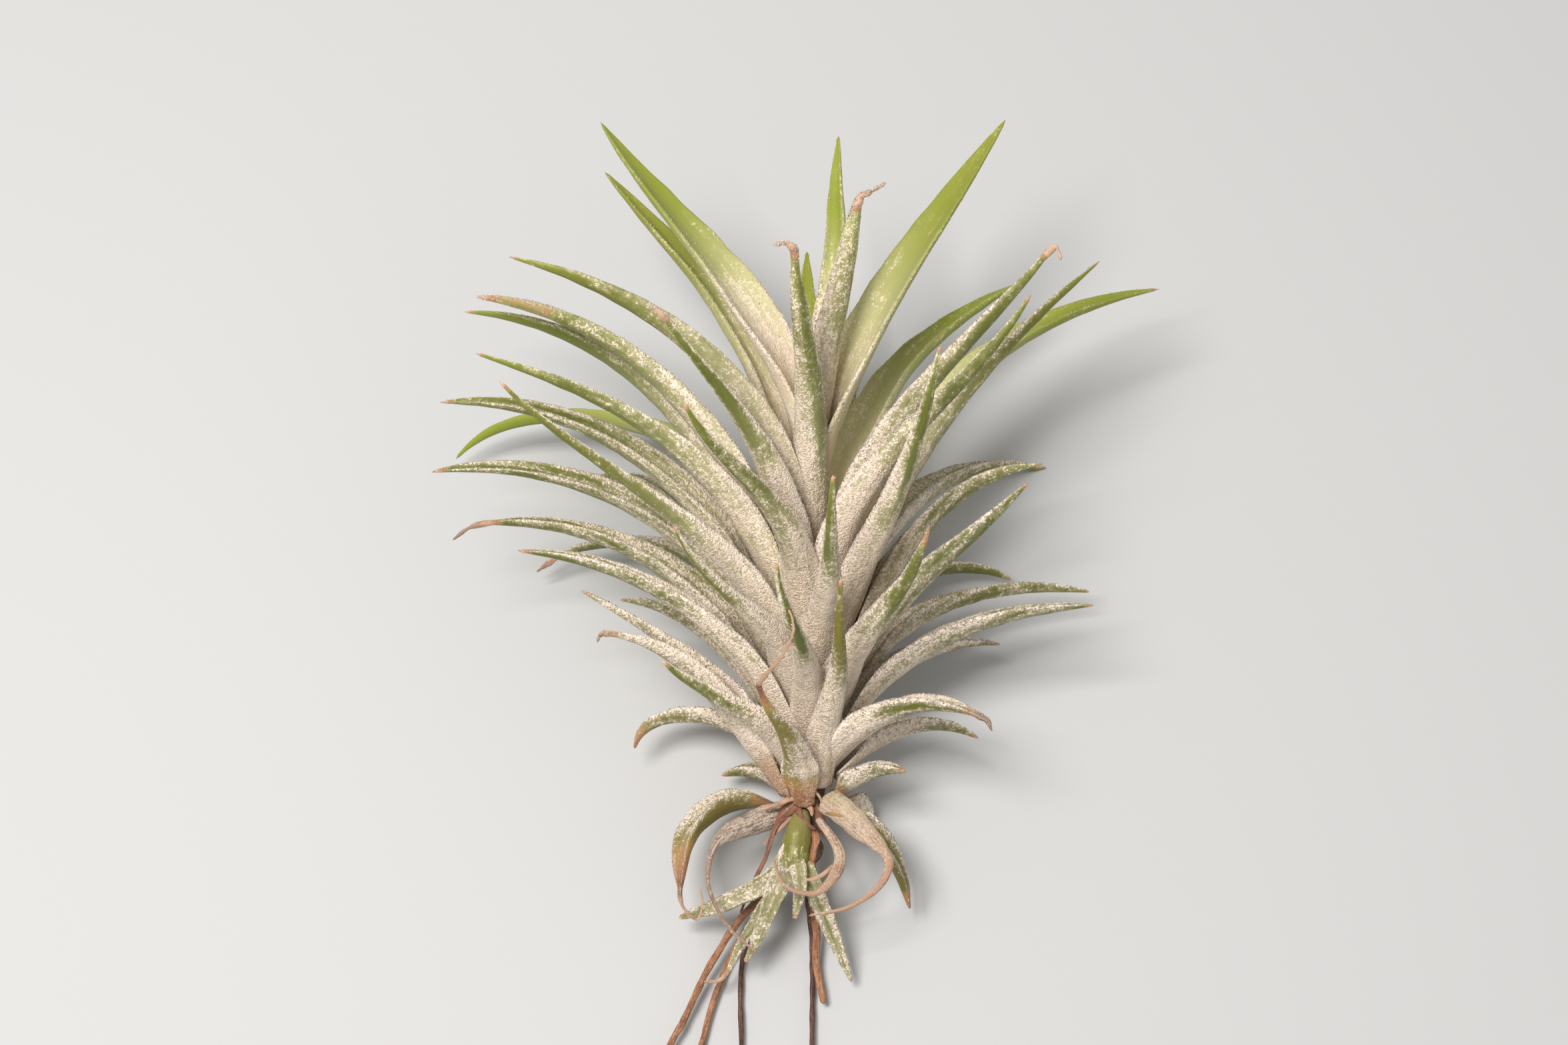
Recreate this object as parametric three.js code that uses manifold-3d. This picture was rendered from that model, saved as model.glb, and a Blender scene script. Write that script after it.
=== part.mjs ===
// Sky plant: an air plant lying on its back. A short woody stem carries a spiral of channelled leaves.
// The youngest leaves stand together as the heart, and the oldest are bent back or dried into curls.
// A small offset and a few wiry roots come out of the stem's foot.
//
// Every piece is modelled in the plant's own frame, in millimetres: +Y runs up the stem, +X is to the right
// and +Z comes out of the side that faces up once the plant lies down. An azimuth turns about +Y
// from +Z towards +X. At the end the whole plant is tilted and set on the surface.
import * as THREE from "three";
import { mergeVertices } from "three/addons/utils/BufferGeometryUtils.js";
import Module from "manifold-3d";

const wasm = await Module();
wasm.setup();

// How the plant lies: the crown is raised, and two leaf tips and a bent leaf at the foot touch the surface
const LYING_TILT = 22.7;
const ORIGIN_HEIGHT = 10.2;
const GROUND_SIZE = 300;
const GROUND_DEPTH = 40;

// The stem
const STEM_FOOT = -8;
const STEM_TOP = 28;
const STEM_RADIUS = 3;
const STEM_FOOT_RADIUS = 1.7;
const STEM_SWELLING = { height: -5, radius: 2.4 }; // where the foot widens into the stem
const CROWN_RADIUS = 1.5;
const CROWN_HEIGHT = 42; // where the stem's taper would reach CROWN_RADIUS
const TAPER_START = 12;

// The spiral of leaves
const GOLDEN_ANGLE = 137.508;
const FIRST_AZIMUTH = 125;
const LEAFY_FOOT = -3.5; // where on the stem the oldest leaf is rooted
const LEAFY_TOP = 33.5;
const FOOT_CROWDING = 1.2; // over 1, the leaves stand closer together towards the foot
const HEART_COUNT = 8;
const HEART_RISE = 11; // how much further up the youngest leaf comes free
const HEART_ROOT_RADIUS = 0.9;
const HEART_TOP = 45; // top of the growing point
const HEART_TOP_RADIUS = 1;
const HEART_SHOULDER = { height: 33, radius: 2.2 };

// Leaf blades
const LEAF_WIDTH = 8.4; // measured round the channel
const ROOT_WIDTH = 5.4;
const TIP_WIDTH = 0.7;
const FULL_WIDTH_SHARE = 0.25; // how much of a leaf, from its root, widens
const YOUNG_TAPER = 2; // the higher, the longer a leaf keeps its width
const OLD_TAPER = 1.5;
const TIP_BLUNTNESS = 0.85; // the lower, the blunter the tip
const PUP_TAPER = 2;
const PUP_BLUNTNESS = 0.7;
const DRY_TAPER = 1;
const DRY_BLUNTNESS = 1.5; // over 1, the blade is drawn out into a thread
const ROOT_THICKNESS = 0.9;
const BLADE_THICKNESS = 1.5;
const DRY_THICKNESS = 0.7;
const TIP_THICKNESS = 0.6;
const FULL_THICKNESS_SHARE = 0.4; // how much of a leaf, from its root, thickens
const EDGE_SHARE = 0.5; // a blade's thickness at its edge over that at its middle
const CHANNEL_ARC = 85; // degrees of arc from a blade's middle to its edge
const OPEN_CHANNEL_ARC = 58; // the same in the broadest leaves, which lie open
const SHEATH_SHARE = 0.3; // how much of a leaf, from its root, bends round the stem
const ROOT_HANDLE = 0.42; // share of its span over which a midrib keeps its first direction
const TIP_HANDLE = 0.36;
const GAP = 0.3; // clearance between neighbours

// Where the leaf tips are seen from: this far in front of the stem, opposite this point [right, up]
const VIEW_DISTANCE = 500;
const VIEW_CENTRE = new THREE.Vector2(-3.3, 36);

// Each leaf, from the heart outwards: where its tip is seen, [right, up, out],
// the blade's direction at its root and at its tip, in degrees from the stem's, which over 90 droops,
// and its greatest width over LEAF_WIDTH.
const LEAVES = [
  [4.1, 88.8, -12, 4, 10, 0.75],
  [-28.3, 90.7, -10, 3, 33, 1.15],
  [7.2, 80.5, 6, 4, 8, 0.85],
  [-0.2, 73, -20, 6, 30, 0.8],
  [-40.8, 72.3, 6, 24, 76, 0.95],
  [26.9, 91, -8, 2, 33, 1.25],
  [-27.8, 83.9, -16, 6, 44, 1.05],
  [-1.9, 73.2, 18, 8, 20, 0.85],
  [28.9, 68.7, -22, 18, 66, 1],
  [-45.4, 66.8, 0, 22, 82, 1],
  [33.1, 73, 12, 16, 42, 0.95],
  [-8, 65, -26, 20, 60, 0.95],
  [-19.8, 64.1, 24, 16, 50, 0.85],
  [47.9, 67.9, -16, 20, 80, 0.95],
  [-47, 64.8, -8, 22, 86, 0.95],
  [30.5, 67.1, 20, 24, 36, 0.9],
  [8, 58, -29, 20, 72, 1],
  [-45.4, 59.1, 12, 18, 74, 0.95],
  [39.8, 71.7, -2, 22, 50, 0.95],
  [-48.1, 44.7, -26, -4, 134, 0.95],
  [-16.8, 52.2, 28, 16, 42, 0.8],
  [32.5, 43, -30.5, 24, 100, 1.05],
  [-50.2, 52.4, -4, 20, 92, 1.05],
  [18.2, 60.2, 26, 24, 24, 0.9],
  [-2.6, 49, -28, 24, 84, 1],
  [-42.2, 55.4, 24, 34, 48, 0.85],
  [32, 44, 2, 28, 82, 1.15],
  [-31.8, 41, -30, 26, 106, 0.95],
  [3.2, 42.5, 28, 14, 20, 0.75],
  [27.8, 28.1, -20, 30, 114, 0.9],
  [-51.5, 42.9, 4, 18, 98, 1.05],
  [30, 41.5, 16, 28, 46, 1.15],
  [-35.3, 30.5, -18, 16, 122, 0.9],
  [-18.4, 35.6, 25, 30, 34, 0.8],
  [38.5, 26.5, -14, 32, 98, 0.8],
  [-44.4, 35.8, 0, 24, 94, 1],
  [16.8, 35.4, 22, 30, 30, 0.95],
  [3, 30, -19, 34, 98, 0.95],
  [-39.6, 32.1, 10, 32, 86, 0.9],
  [39, 24.7, 4, 34, 86, 1.2],
  [-25.7, 25.4, -6, 40, 88, 0.85],
  [-4.3, 30.5, 25, 14, 12, 0.7],
  [26.2, 19.3, -12, 44, 100, 0.9],
  [-31, 26.7, 8, 36, 62, 0.9],
  [23.5, 9.4, 14, 44, 112, 1],
  [-3.4, 15, -13.6, 44, 104, 0.85],
  [-20, 17.1, 17, 44, 54, 0.9],
  [23.2, 6.5, -2, 48, 122, 0.8],
  [-23.7, 5.1, -6, 16, 170, 0.85],
  [4.5, 28.4, 22, 14, 12, 0.7],
  [3.7, 6, -9.5, 54, 118, 0.8],
  [-27.6, 20.8, 12, 40, 84, 0.85],
  [13.4, 1.9, 4, 56, 104, 0.85],
  [-11.8, 1.4, -7, 56, 112, 0.8],
  [-6.6, 13.5, 19, 36, 46, 0.75],
  [8.5, -9, -9.2, 70, 150, 0.8],
  [-17.6, -14.6, 10, 70, 174, 1.05],
  [13.9, -16.8, 1, 88, 166, 0.75],
];

// Dried ends that carry a leaf on past its living tip, by its place in LEAVES: steps [right, up, out]
const DRY_ENDS = {
  2: [[1.3, 0.6, 0.2], [2, 1.2, 0.3]],
  7: [[-1, 0.9, 0.4], [-1.6, -0.2, 0.2]],
  10: [[0.8, 0.6, 0.2], [0.7, -1.8, 0.4]],
  12: [[-1, 0.9, 0.5], [-0.9, 0.3, 0.3]],
  32: [[-1.9, -1.3, -0.6]],
  35: [[-2, -0.6, 0], [-2.2, -1.6, 0]],
  54: [[1.2, 1.6, 0.8], [1.6, 2.8, 0.8], [1.4, 3, 0], [-0.4, 3.6, -0.8]],
  56: [[0.5, -2, 0.2], [1.9, -1.5, 0.3], [0.8, 2.1, 0.3], [-0.3, 2.1, 0.2]],
};

// The offset: its short stem, and its leaves with their greatest widths
const PUP_STEM = [[-0.6, -3.4, 2.4], [-1.6, -8, 4.2], [-2, -12, 4.8]];
const PUP_STEM_RADIUS = 1.7;
const PUP_LEAVES = [
  { width: 3.6, points: [[-1.8, -8, 4.2], [-4.5, -14, 5.6], [-7.5, -21.6, 5]] },
  { width: 2.8, points: [[-2.2, -8, 4], [-4.3, -11.4, 5], [-10, -15, 4], [-17.6, -17.9, 1.4]] },
  {
    width: 2.8,
    points: [[-1.8, -9, 3.6], [-4.8, -14.6, 4.2], [-9, -21, 4.2], [-11.8, -25.9, 4.2], [-14.2, -26.2, 4.8]],
  },
  { width: 2.8, points: [[-1, -9, 4], [1.6, -15.7, 4.8], [4, -21.5, 3.8], [5.9, -26.4, 2.8]] },
  { width: 2.4, points: [[-1.6, -9, 5], [-1.2, -13, 6.6], [-1.8, -17.5, 6.4]] },
];

// The dry leaves, curled down from the foot
const DRY_LEAVES = {
  dry_leaf_left: {
    width: 3.4,
    points: [[-2, -3.6, 1.6], [-7.6, -7, 3.6], [-12.2, -9, 5.6], [-13.4, -13.6, 7.2], [-10.6, -18.6, 8.4],
      [-6.9, -21.9, 8.6]],
  },
  dry_leaf_right: {
    width: 4.4,
    points: [[2, -1.2, 4], [5, -3.4, 7.6], [8.6, -6.4, 9.6], [10.8, -9.4, 10.4], [9.6, -12.6, 10.4],
      [5.4, -15.6, 9.8], [0, -16.8, 9]],
  },
  dry_loop: {
    width: 2.6,
    points: [[1.2, -4, 3.2], [4.3, -9.3, 6.6], [1.1, -13.6, 9.2], [-3.2, -12.5, 10], [-4.8, -8.8, 9.6]],
  },
};

// The roots, which spring from a crown under the stem's foot and then lie along the surface
const ROOT_CROWN = [[0, -8.3, 0], [0, -10.6, 0]];
const ROOT_CROWN_RADIUS = 1.8;
const ROOTS = [
  {
    radius: 0.75,
    points: [[0, -9.4, 0], [-9.1, -17.9, 1], [-13.9, -25.3, 2.6], [-17.1, -31.8, 4.6], [-19, -35.3, 5.8],
      [-22, -43, 8.4]],
  },
  {
    radius: 0.7,
    points: [[0, -9.4, 0], [-8.6, -20, -0.6], [-12.3, -27.5, 1.8], [-14.6, -35.3, 4.9], [-16.5, -44, 8.6]],
  },
  {
    radius: 0.6,
    points: [[0, -9.4, 0], [-4.5, -15, -1.6], [-8.6, -22.1, -0.6], [-9.1, -35.3, 5], [-9, -45, 9.2]],
  },
  {
    radius: 0.6,
    points: [[0, -9.4, 0], [0, -15.7, -1.6], [0.5, -21.1, -1], [0.5, -35.3, 5.1], [0.8, -44, 8.8]],
  },
  { radius: 0.9, points: [[0.2, -9.4, 0.4], [1.1, -20, 0.6], [1.1, -24.3, 1.2], [2.1, -29.4, 3]] },
];
const ROOT_TAPER = 0.85; // a root's radius at its end over that at its start

const OUTWARDS = new THREE.Vector3(0, 0, 1);

const radians = THREE.MathUtils.degToRad;
const mix = THREE.MathUtils.lerp;
const smooth = THREE.MathUtils.smoothstep;

const finish = (color, roughness) => new THREE.MeshStandardMaterial({ color, roughness });
const SILVER_LEAF = finish(0xaab396, 0.85);
const DRY_LEAF = finish(0xb08e6c, 0.9);
const WOOD = finish(0x6b4d38, 0.9);
const ROOT = finish(0x96704a, 0.85);

// The solid of a closed geometry
function solidOf(geometry) {
  const bare = geometry.clone();
  bare.deleteAttribute("normal");
  bare.deleteAttribute("uv");
  const merged = mergeVertices(bare, 1e-4);
  const vertProperties = new Float32Array(merged.attributes.position.array);
  const triVerts = new Uint32Array(merged.index.array);
  return new wasm.Manifold(new wasm.Mesh({ numProp: 3, vertProperties, triVerts }));
}

// A solid as a named mesh
function meshOf(name, solid, material) {
  const { vertProperties, triVerts } = solid.getMesh();
  const geometry = new THREE.BufferGeometry();
  geometry.setAttribute("position", new THREE.BufferAttribute(vertProperties, 3));
  geometry.setIndex(new THREE.BufferAttribute(triVerts, 1));
  geometry.computeVertexNormals();
  const mesh = new THREE.Mesh(geometry, material);
  mesh.name = name;
  return mesh;
}

const joined = (solids) => solids.reduce((a, b) => a.add(b));
const largestBody = (solid) => solid.decompose().reduce((a, b) => (a.volume() > b.volume() ? a : b));

function boxesMeet(solid, other) {
  const a = solid.boundingBox();
  const b = other.boundingBox();
  return [0, 1, 2].every((axis) => a.min[axis] < b.max[axis] && b.min[axis] < a.max[axis]);
}

// A closed skin over rings of points, which run round like the outline. The outline caps both ends.
function skin(rings, outline) {
  const sides = outline.length;
  const last = (rings.length - 1) * sides;
  const index = [];
  for (let i = 0; i < last; i += sides)
    for (let j = 0; j < sides; j++) {
      const k = (j + 1) % sides;
      index.push(i + j, i + k, i + sides + k, i + j, i + sides + k, i + sides + j);
    }
  for (const [a, b, c] of THREE.ShapeUtils.triangulateShape(outline, [])) {
    index.push(a, c, b);
    index.push(last + a, last + b, last + c);
  }
  const geometry = new THREE.BufferGeometry().setFromPoints(rings.flat());
  geometry.setIndex(index);
  return geometry;
}

// A blade's cross-section, as points (across, towards the channel): a bent strip with its middle at the
// origin and its edges curled up, grown all round by swell
function crescent({ halfWidth, bend, thickness }, swell) {
  const strip = (s, side) => {
    const angle = (s * (halfWidth + swell)) / bend;
    const offset = side * ((thickness / 2) * mix(1, EDGE_SHARE, s * s) + swell);
    return new THREE.Vector2((bend - offset) * Math.sin(angle), bend - (bend - offset) * Math.cos(angle));
  };
  const back = [-1, -0.5, 0, 0.5, 1].map((s) => strip(s, -1));
  const face = [1, 0, -1].map((s) => strip(s, 1));
  return [...back, ...face];
}

// A blade over stations along its midrib, each { point, tangent, across, halfWidth, bend, thickness }
function blade(stations, swell = 0) {
  const outlines = stations.map((station) => crescent(station, swell));
  const last = stations.length - 1;
  const rings = stations.map(({ point, tangent, across }, i) => {
    const face = new THREE.Vector3().crossVectors(tangent, across);
    const endSwell = i === 0 ? -swell : i === last ? swell : 0;
    const middle = point.clone().addScaledVector(tangent, endSwell);
    return outlines[i].map(({ x, y }) => middle.clone().addScaledVector(across, x).addScaledVector(face, y));
  });
  return solidOf(skin(rings, outlines[0]));
}

const squareTo = (vector, tangent) =>
  vector.clone().addScaledVector(tangent, -vector.dot(tangent)).normalize();

const stemRadius = (height) => mix(STEM_RADIUS, CROWN_RADIUS, smooth(height, TAPER_START, CROWN_HEIGHT));

const LEAF_STATIONS = [0, 0.1, 0.22, 0.36, 0.5, 0.64, 0.78, 0.9, 1];
const TANGENT_STEP = 0.01;

// The stations of leaf n, counted from the heart outwards. Its midrib arches in the plane through the stem
// and swings round the stem on its way from its place in the spiral to its tip.
function leafStations(n) {
  const [seenRight, seenUp, out, lean, arch, breadth] = LEAVES[n];
  const nearness = 1 - out / VIEW_DISTANCE;
  const right = mix(VIEW_CENTRE.x, seenRight, nearness);
  const up = mix(VIEW_CENTRE.y, seenUp, nearness);

  const age = n / (LEAVES.length - 1);
  const inHeart = n < HEART_COUNT;
  const rise = HEART_RISE * Math.max(0, 1 - n / HEART_COUNT) ** 2;
  const foot = mix(LEAFY_FOOT, LEAFY_TOP, (1 - age) ** FOOT_CROWDING) + rise;
  const footRadius = inHeart ? HEART_ROOT_RADIUS : stemRadius(foot) + GAP + ROOT_THICKNESS / 2;
  const footAzimuth = radians((FIRST_AZIMUTH + GOLDEN_ANGLE * n) % 360);
  const turn = Math.atan2(right, out) - footAzimuth;
  const swing = Math.atan2(Math.sin(turn), Math.cos(turn));

  const start = new THREE.Vector2(footRadius, foot);
  const end = new THREE.Vector2(Math.hypot(right, out), up);
  const span = start.distanceTo(end);
  const along = (degrees) => new THREE.Vector2(Math.sin(radians(degrees)), Math.cos(radians(degrees)));
  const profile = new THREE.CubicBezierCurve(
    start,
    along(lean).multiplyScalar(ROOT_HANDLE * span).add(start),
    along(arch).multiplyScalar(-TIP_HANDLE * span).add(end),
    end,
  );
  const azimuthAt = (t) => footAzimuth + swing * smooth(t, 0, 1);
  const pointAt = (t) => {
    const { x: radius, y: height } = profile.getPoint(t);
    return new THREE.Vector3(radius * Math.sin(azimuthAt(t)), height, radius * Math.cos(azimuthAt(t)));
  };

  const fullArc = radians(mix(CHANNEL_ARC, OPEN_CHANNEL_ARC, smooth(breadth, 1, 1.15)));
  const taper = mix(YOUNG_TAPER, OLD_TAPER, age);
  const stations = LEAF_STATIONS.map((t) => {
    const before = pointAt(Math.max(0, t - TANGENT_STEP));
    const tangent = pointAt(Math.min(1, t + TANGENT_STEP)).sub(before).normalize();
    const round = new THREE.Vector3(Math.cos(azimuthAt(t)), 0, -Math.sin(azimuthAt(t)));
    const full = LEAF_WIDTH * breadth * (1 - t ** taper) ** TIP_BLUNTNESS;
    const width = Math.max(mix(ROOT_WIDTH, full, smooth(t, 0, FULL_WIDTH_SHARE)), TIP_WIDTH);
    const fullThickness = mix(ROOT_THICKNESS, BLADE_THICKNESS, smooth(t, 0, FULL_THICKNESS_SHARE));
    const thickness = fullThickness * Math.sqrt(1 - t ** 4);
    const channel = width / 2 / fullArc;
    const bend = mix(profile.getPoint(t).x, channel, smooth(t, 0, SHEATH_SHARE));
    return {
      point: pointAt(t),
      tangent,
      across: squareTo(round, tangent),
      halfWidth: width / 2,
      bend: Math.max(bend, channel),
      thickness: Math.max(thickness, TIP_THICKNESS),
    };
  });
  for (const [x, y, z] of DRY_ENDS[n] ?? []) {
    const previous = stations[stations.length - 1];
    const step = new THREE.Vector3(x, y, z);
    const tangent = step.clone().normalize();
    const point = previous.point.clone().add(step);
    stations.push({ ...previous, point, tangent, across: squareTo(previous.across, tangent) });
  }
  return stations;
}

const RIBBON_STATIONS = 8;

// The stations of a thin blade along hand-placed points, its channel towards the given side
function ribbonStations({ points, width }, { side, taper, bluntness }) {
  const curve = new THREE.CatmullRomCurve3(points.map((p) => new THREE.Vector3(...p)), false, "centripetal");
  let across = new THREE.Vector3().crossVectors(side, curve.getTangentAt(0));
  return Array.from({ length: RIBBON_STATIONS }, (_, i) => {
    const t = i / (RIBBON_STATIONS - 1);
    const tangent = curve.getTangentAt(t);
    across = squareTo(across, tangent);
    const halfWidth = Math.max(width * (1 - t ** taper) ** bluntness, TIP_WIDTH) / 2;
    const bend = Math.max(halfWidth / radians(OPEN_CHANNEL_ARC), DRY_THICKNESS);
    return { point: curve.getPointAt(t), tangent, across, halfWidth, bend, thickness: DRY_THICKNESS };
  });
}

// A round rod along hand-placed points
function rod({ points, radius, taper = 1, sides = 6, steps = 8 }) {
  const curve = new THREE.CatmullRomCurve3(points.map((p) => new THREE.Vector3(...p)), false, "centripetal");
  const { normals, binormals } = curve.computeFrenetFrames(steps, false);
  const circle = Array.from({ length: sides }, (_, j) => {
    const angle = (2 * Math.PI * j) / sides;
    return new THREE.Vector2(Math.cos(angle), Math.sin(angle));
  });
  const rings = normals.map((normal, i) => {
    const r = radius * mix(1, taper, i / steps);
    const middle = curve.getPointAt(i / steps);
    return circle.map(({ x, y }) =>
      middle.clone().addScaledVector(normal, r * x).addScaledVector(binormals[i], r * y),
    );
  });
  return solidOf(skin(rings, circle));
}

function lathe(profile, sides) {
  const outline = profile.map(([radius, height]) => new THREE.Vector2(radius, height));
  return solidOf(new THREE.LatheGeometry(outline, sides));
}

// The stem, grown sideways and at its foot by swell
const stem = (swell = 0) =>
  lathe(
    [
      [0, STEM_FOOT - swell],
      [STEM_FOOT_RADIUS + swell, STEM_FOOT - swell],
      [STEM_SWELLING.radius + swell, STEM_SWELLING.height],
      [STEM_RADIUS + swell, 0],
      [stemRadius(TAPER_START) + swell, TAPER_START],
      [stemRadius(STEM_TOP) + swell, STEM_TOP + swell / 2],
      [0, STEM_TOP + swell / 2],
    ],
    12,
  );

// The growing point, which the heart leaves are joined to, grown sideways by swell
const growingPoint = (swell = 0) =>
  lathe(
    [
      [0, STEM_TOP + GAP],
      [stemRadius(STEM_TOP) + swell, STEM_TOP + GAP],
      [HEART_SHOULDER.radius + swell, HEART_SHOULDER.height],
      [HEART_TOP_RADIUS + swell, HEART_TOP],
      [0, HEART_TOP],
    ],
    10,
  );

const plant = new THREE.Group();
plant.rotation.x = radians(LYING_TILT);
plant.position.z = ORIGIN_HEIGHT;
plant.updateMatrixWorld(true);

// The ground in the plant's frame, which trims the tips that rest on it
const ground = solidOf(
  new THREE.BoxGeometry(GROUND_SIZE, GROUND_SIZE, GROUND_DEPTH)
    .translate(0, 0, -GROUND_DEPTH / 2)
    .applyMatrix4(plant.matrixWorld.clone().invert()),
);

const clearances = [stem(GAP)];
plant.add(meshOf("stem", stem(), WOOD));

// Adds a piece, cut clear of the ground and of the pieces that are already there
function add(name, solid, clearance, material) {
  const near = clearances.filter((other) => boxesMeet(solid, other));
  const free = near.reduce((rest, other) => rest.subtract(other), solid.subtract(ground));
  plant.add(meshOf(name, largestBody(free), material));
  clearances.push(clearance);
}

const addBlade = (name, stations, material) => add(name, blade(stations), blade(stations, GAP), material);

// Adds blades that are joined at their core, a function of swell as the stem is
function addBunch(name, core, bunch, material) {
  const [solid, clearance] = [0, GAP].map((swell) =>
    joined([core(swell), ...bunch.map((stations) => blade(stations, swell))]),
  );
  add(name, solid, clearance, material);
}

const leaves = LEAVES.map((_, n) => leafStations(n));
addBunch("heart_leaves", growingPoint, leaves.slice(0, HEART_COUNT), SILVER_LEAF);
for (let n = HEART_COUNT; n < leaves.length; n++)
  addBlade(`leaf_${String(n + 1).padStart(2, "0")}`, leaves[n], SILVER_LEAF);

const pupStem = (swell) => rod({ points: PUP_STEM, radius: PUP_STEM_RADIUS + swell, sides: 8, steps: 4 });
const pupForm = { side: OUTWARDS, taper: PUP_TAPER, bluntness: PUP_BLUNTNESS };
const pupLeaves = PUP_LEAVES.map((leaf) => ribbonStations(leaf, pupForm));
addBunch("pup", pupStem, pupLeaves, SILVER_LEAF);

const dryForm = { side: OUTWARDS.clone().negate(), taper: DRY_TAPER, bluntness: DRY_BLUNTNESS };
for (const [name, leaf] of Object.entries(DRY_LEAVES))
  addBlade(name, ribbonStations(leaf, dryForm), DRY_LEAF);

const rootCrown = rod({ points: ROOT_CROWN, radius: ROOT_CROWN_RADIUS, sides: 8, steps: 2 });
const roots = joined([rootCrown, ...ROOTS.map((root) => rod({ ...root, taper: ROOT_TAPER }))]);
add("roots", roots, roots, ROOT);

// The origin is under the middle of the plant
plant.updateMatrixWorld(true);
const middle = new THREE.Box3().setFromObject(plant, true).getCenter(new THREE.Vector3());
plant.position.x = -middle.x;
plant.position.y = -middle.y;

export default plant;
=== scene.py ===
"""A sky plant lying on its back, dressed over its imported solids.

Shapes are worked out in millimetres in the plant's own frame: x to the right, y up the stem, and z out of
the side that faces up once the plant lies down. Azimuths turn about y from z towards x. place() tilts the
points, sets them on the surface and turns them into metres when they are added to a piece.
"""

import math

import bpy
import numpy as np
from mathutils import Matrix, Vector


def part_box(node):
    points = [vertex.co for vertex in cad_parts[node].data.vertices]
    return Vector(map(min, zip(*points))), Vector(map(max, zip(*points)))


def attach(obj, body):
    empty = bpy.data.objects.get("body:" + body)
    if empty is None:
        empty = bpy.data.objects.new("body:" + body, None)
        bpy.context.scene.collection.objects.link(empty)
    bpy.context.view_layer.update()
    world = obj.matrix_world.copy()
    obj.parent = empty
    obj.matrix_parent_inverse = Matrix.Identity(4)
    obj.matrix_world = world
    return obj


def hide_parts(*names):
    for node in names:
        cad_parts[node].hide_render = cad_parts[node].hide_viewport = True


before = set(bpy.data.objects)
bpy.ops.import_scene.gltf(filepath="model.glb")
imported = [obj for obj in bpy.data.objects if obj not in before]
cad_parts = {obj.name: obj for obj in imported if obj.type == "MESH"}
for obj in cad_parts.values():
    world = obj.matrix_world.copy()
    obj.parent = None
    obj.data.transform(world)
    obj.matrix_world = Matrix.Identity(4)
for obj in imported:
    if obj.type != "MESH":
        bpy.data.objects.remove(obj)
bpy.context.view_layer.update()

METRE = 1000.0  # in millimetres

# How the plant lies
LYING_TILT = math.radians(22.7)
SINE, COSINE = math.sin(LYING_TILT), math.cos(LYING_TILT)
RESTING_HEIGHT = 0.03  # the lowest that a surface comes, just over the floor

# The stem
STEM_FOOT = -8.0
STEM_TOP = 28.0
STEM_RADIUS = 3.0
STEM_FOOT_RADIUS = 1.7
CROWN_RADIUS = 1.5
CROWN_HEIGHT = 42.0
TAPER_START = 12.0

# The spiral of leaves
GOLDEN_ANGLE = 137.508
FIRST_AZIMUTH = 125.0
LEAFY_FOOT = -3.5
LEAFY_TOP = 33.5
FOOT_CROWDING = 1.2
HEART_COUNT = 8
HEART_RISE = 11.0
HEART_ROOT_RADIUS = 0.9

# Leaf blades
LEAF_WIDTH = 8.4
ROOT_WIDTH = 5.4
OLD_ROOT_WIDTH = 3.0
OLD_LEAVES = 50  # about where the oldest leaves begin, whose feet have dried and narrowed
TIP_WIDTH = 0.62
DRY_WIDTHS = (1.35, 0.7)
DRY_ROUNDNESS = 0.75
THREAD_WIDTHS = (0.85, 0.45)
LOWER_FULLNESS = 0.1
FULL_WIDTH_SHARE = 0.25
YOUNG_TAPER = 2.0
OLD_TAPER = 1.5
TIP_BLUNTNESS = 0.78
ROOT_THICKNESS = 0.9
BLADE_THICKNESS = 1.5
TIP_THICKNESS = 0.4
FULL_THICKNESS_SHARE = 0.4
EDGE_SHARE = 0.5
EDGE_ROUNDING = 0.42  # power of the sine round a ring: the lower, the squarer the blade's edge
KEEL_ROUNDING = 0.16
HEART_FOLD = 0.1
LEAF_FOLD = 0.4
CHANNEL_ARC = math.radians(85)
OPEN_CHANNEL_ARC = math.radians(58)
SHEATH_SHARE = 0.3
ROOT_HANDLE = 0.42
TIP_HANDLE = 0.36
STEM_GAP = 0.3
TIP_ROUNDING = 0.35  # length over which a blade's end closes
STALK_ROUNDING = 0.5  # the same for a stalk's end

# Silver scales that stand off a blade: their least and greatest sizes, how far they sway to the side, how
# far their feet and their middles sink in, and how many there are for each millimetre of blade
FLAKE_LENGTH = (0.2, 0.46)
FLAKE_WIDTH = (0.07, 0.15)
FLAKE_RISE = (0.06, 0.17)
FLAKE_SWAY = 0.45
FLAKE_SINKING = 0.03
FLAKE_DIP = 0.02
LEAF_FLAKES = 32
CRUSTED_FLAKES = 50
PUP_FLAKES = 3.5

# Stations along a path, points round a blade's ring, steps between two knots and sines in a ripple
BLADE_STATIONS = 84
BLADE_RING = 26
RIBBON_STATIONS = 72
ROOT_STATIONS = 130
WOOD_STATIONS = 110
CURVE_STEPS = 60
RIPPLE_WAVES = 4

# The photo's viewpoint
VIEW_DISTANCE = 500.0
VIEW_CENTRE = (-3.3, 36.0)
LENS = 84.0
SENSOR = 36.0

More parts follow.
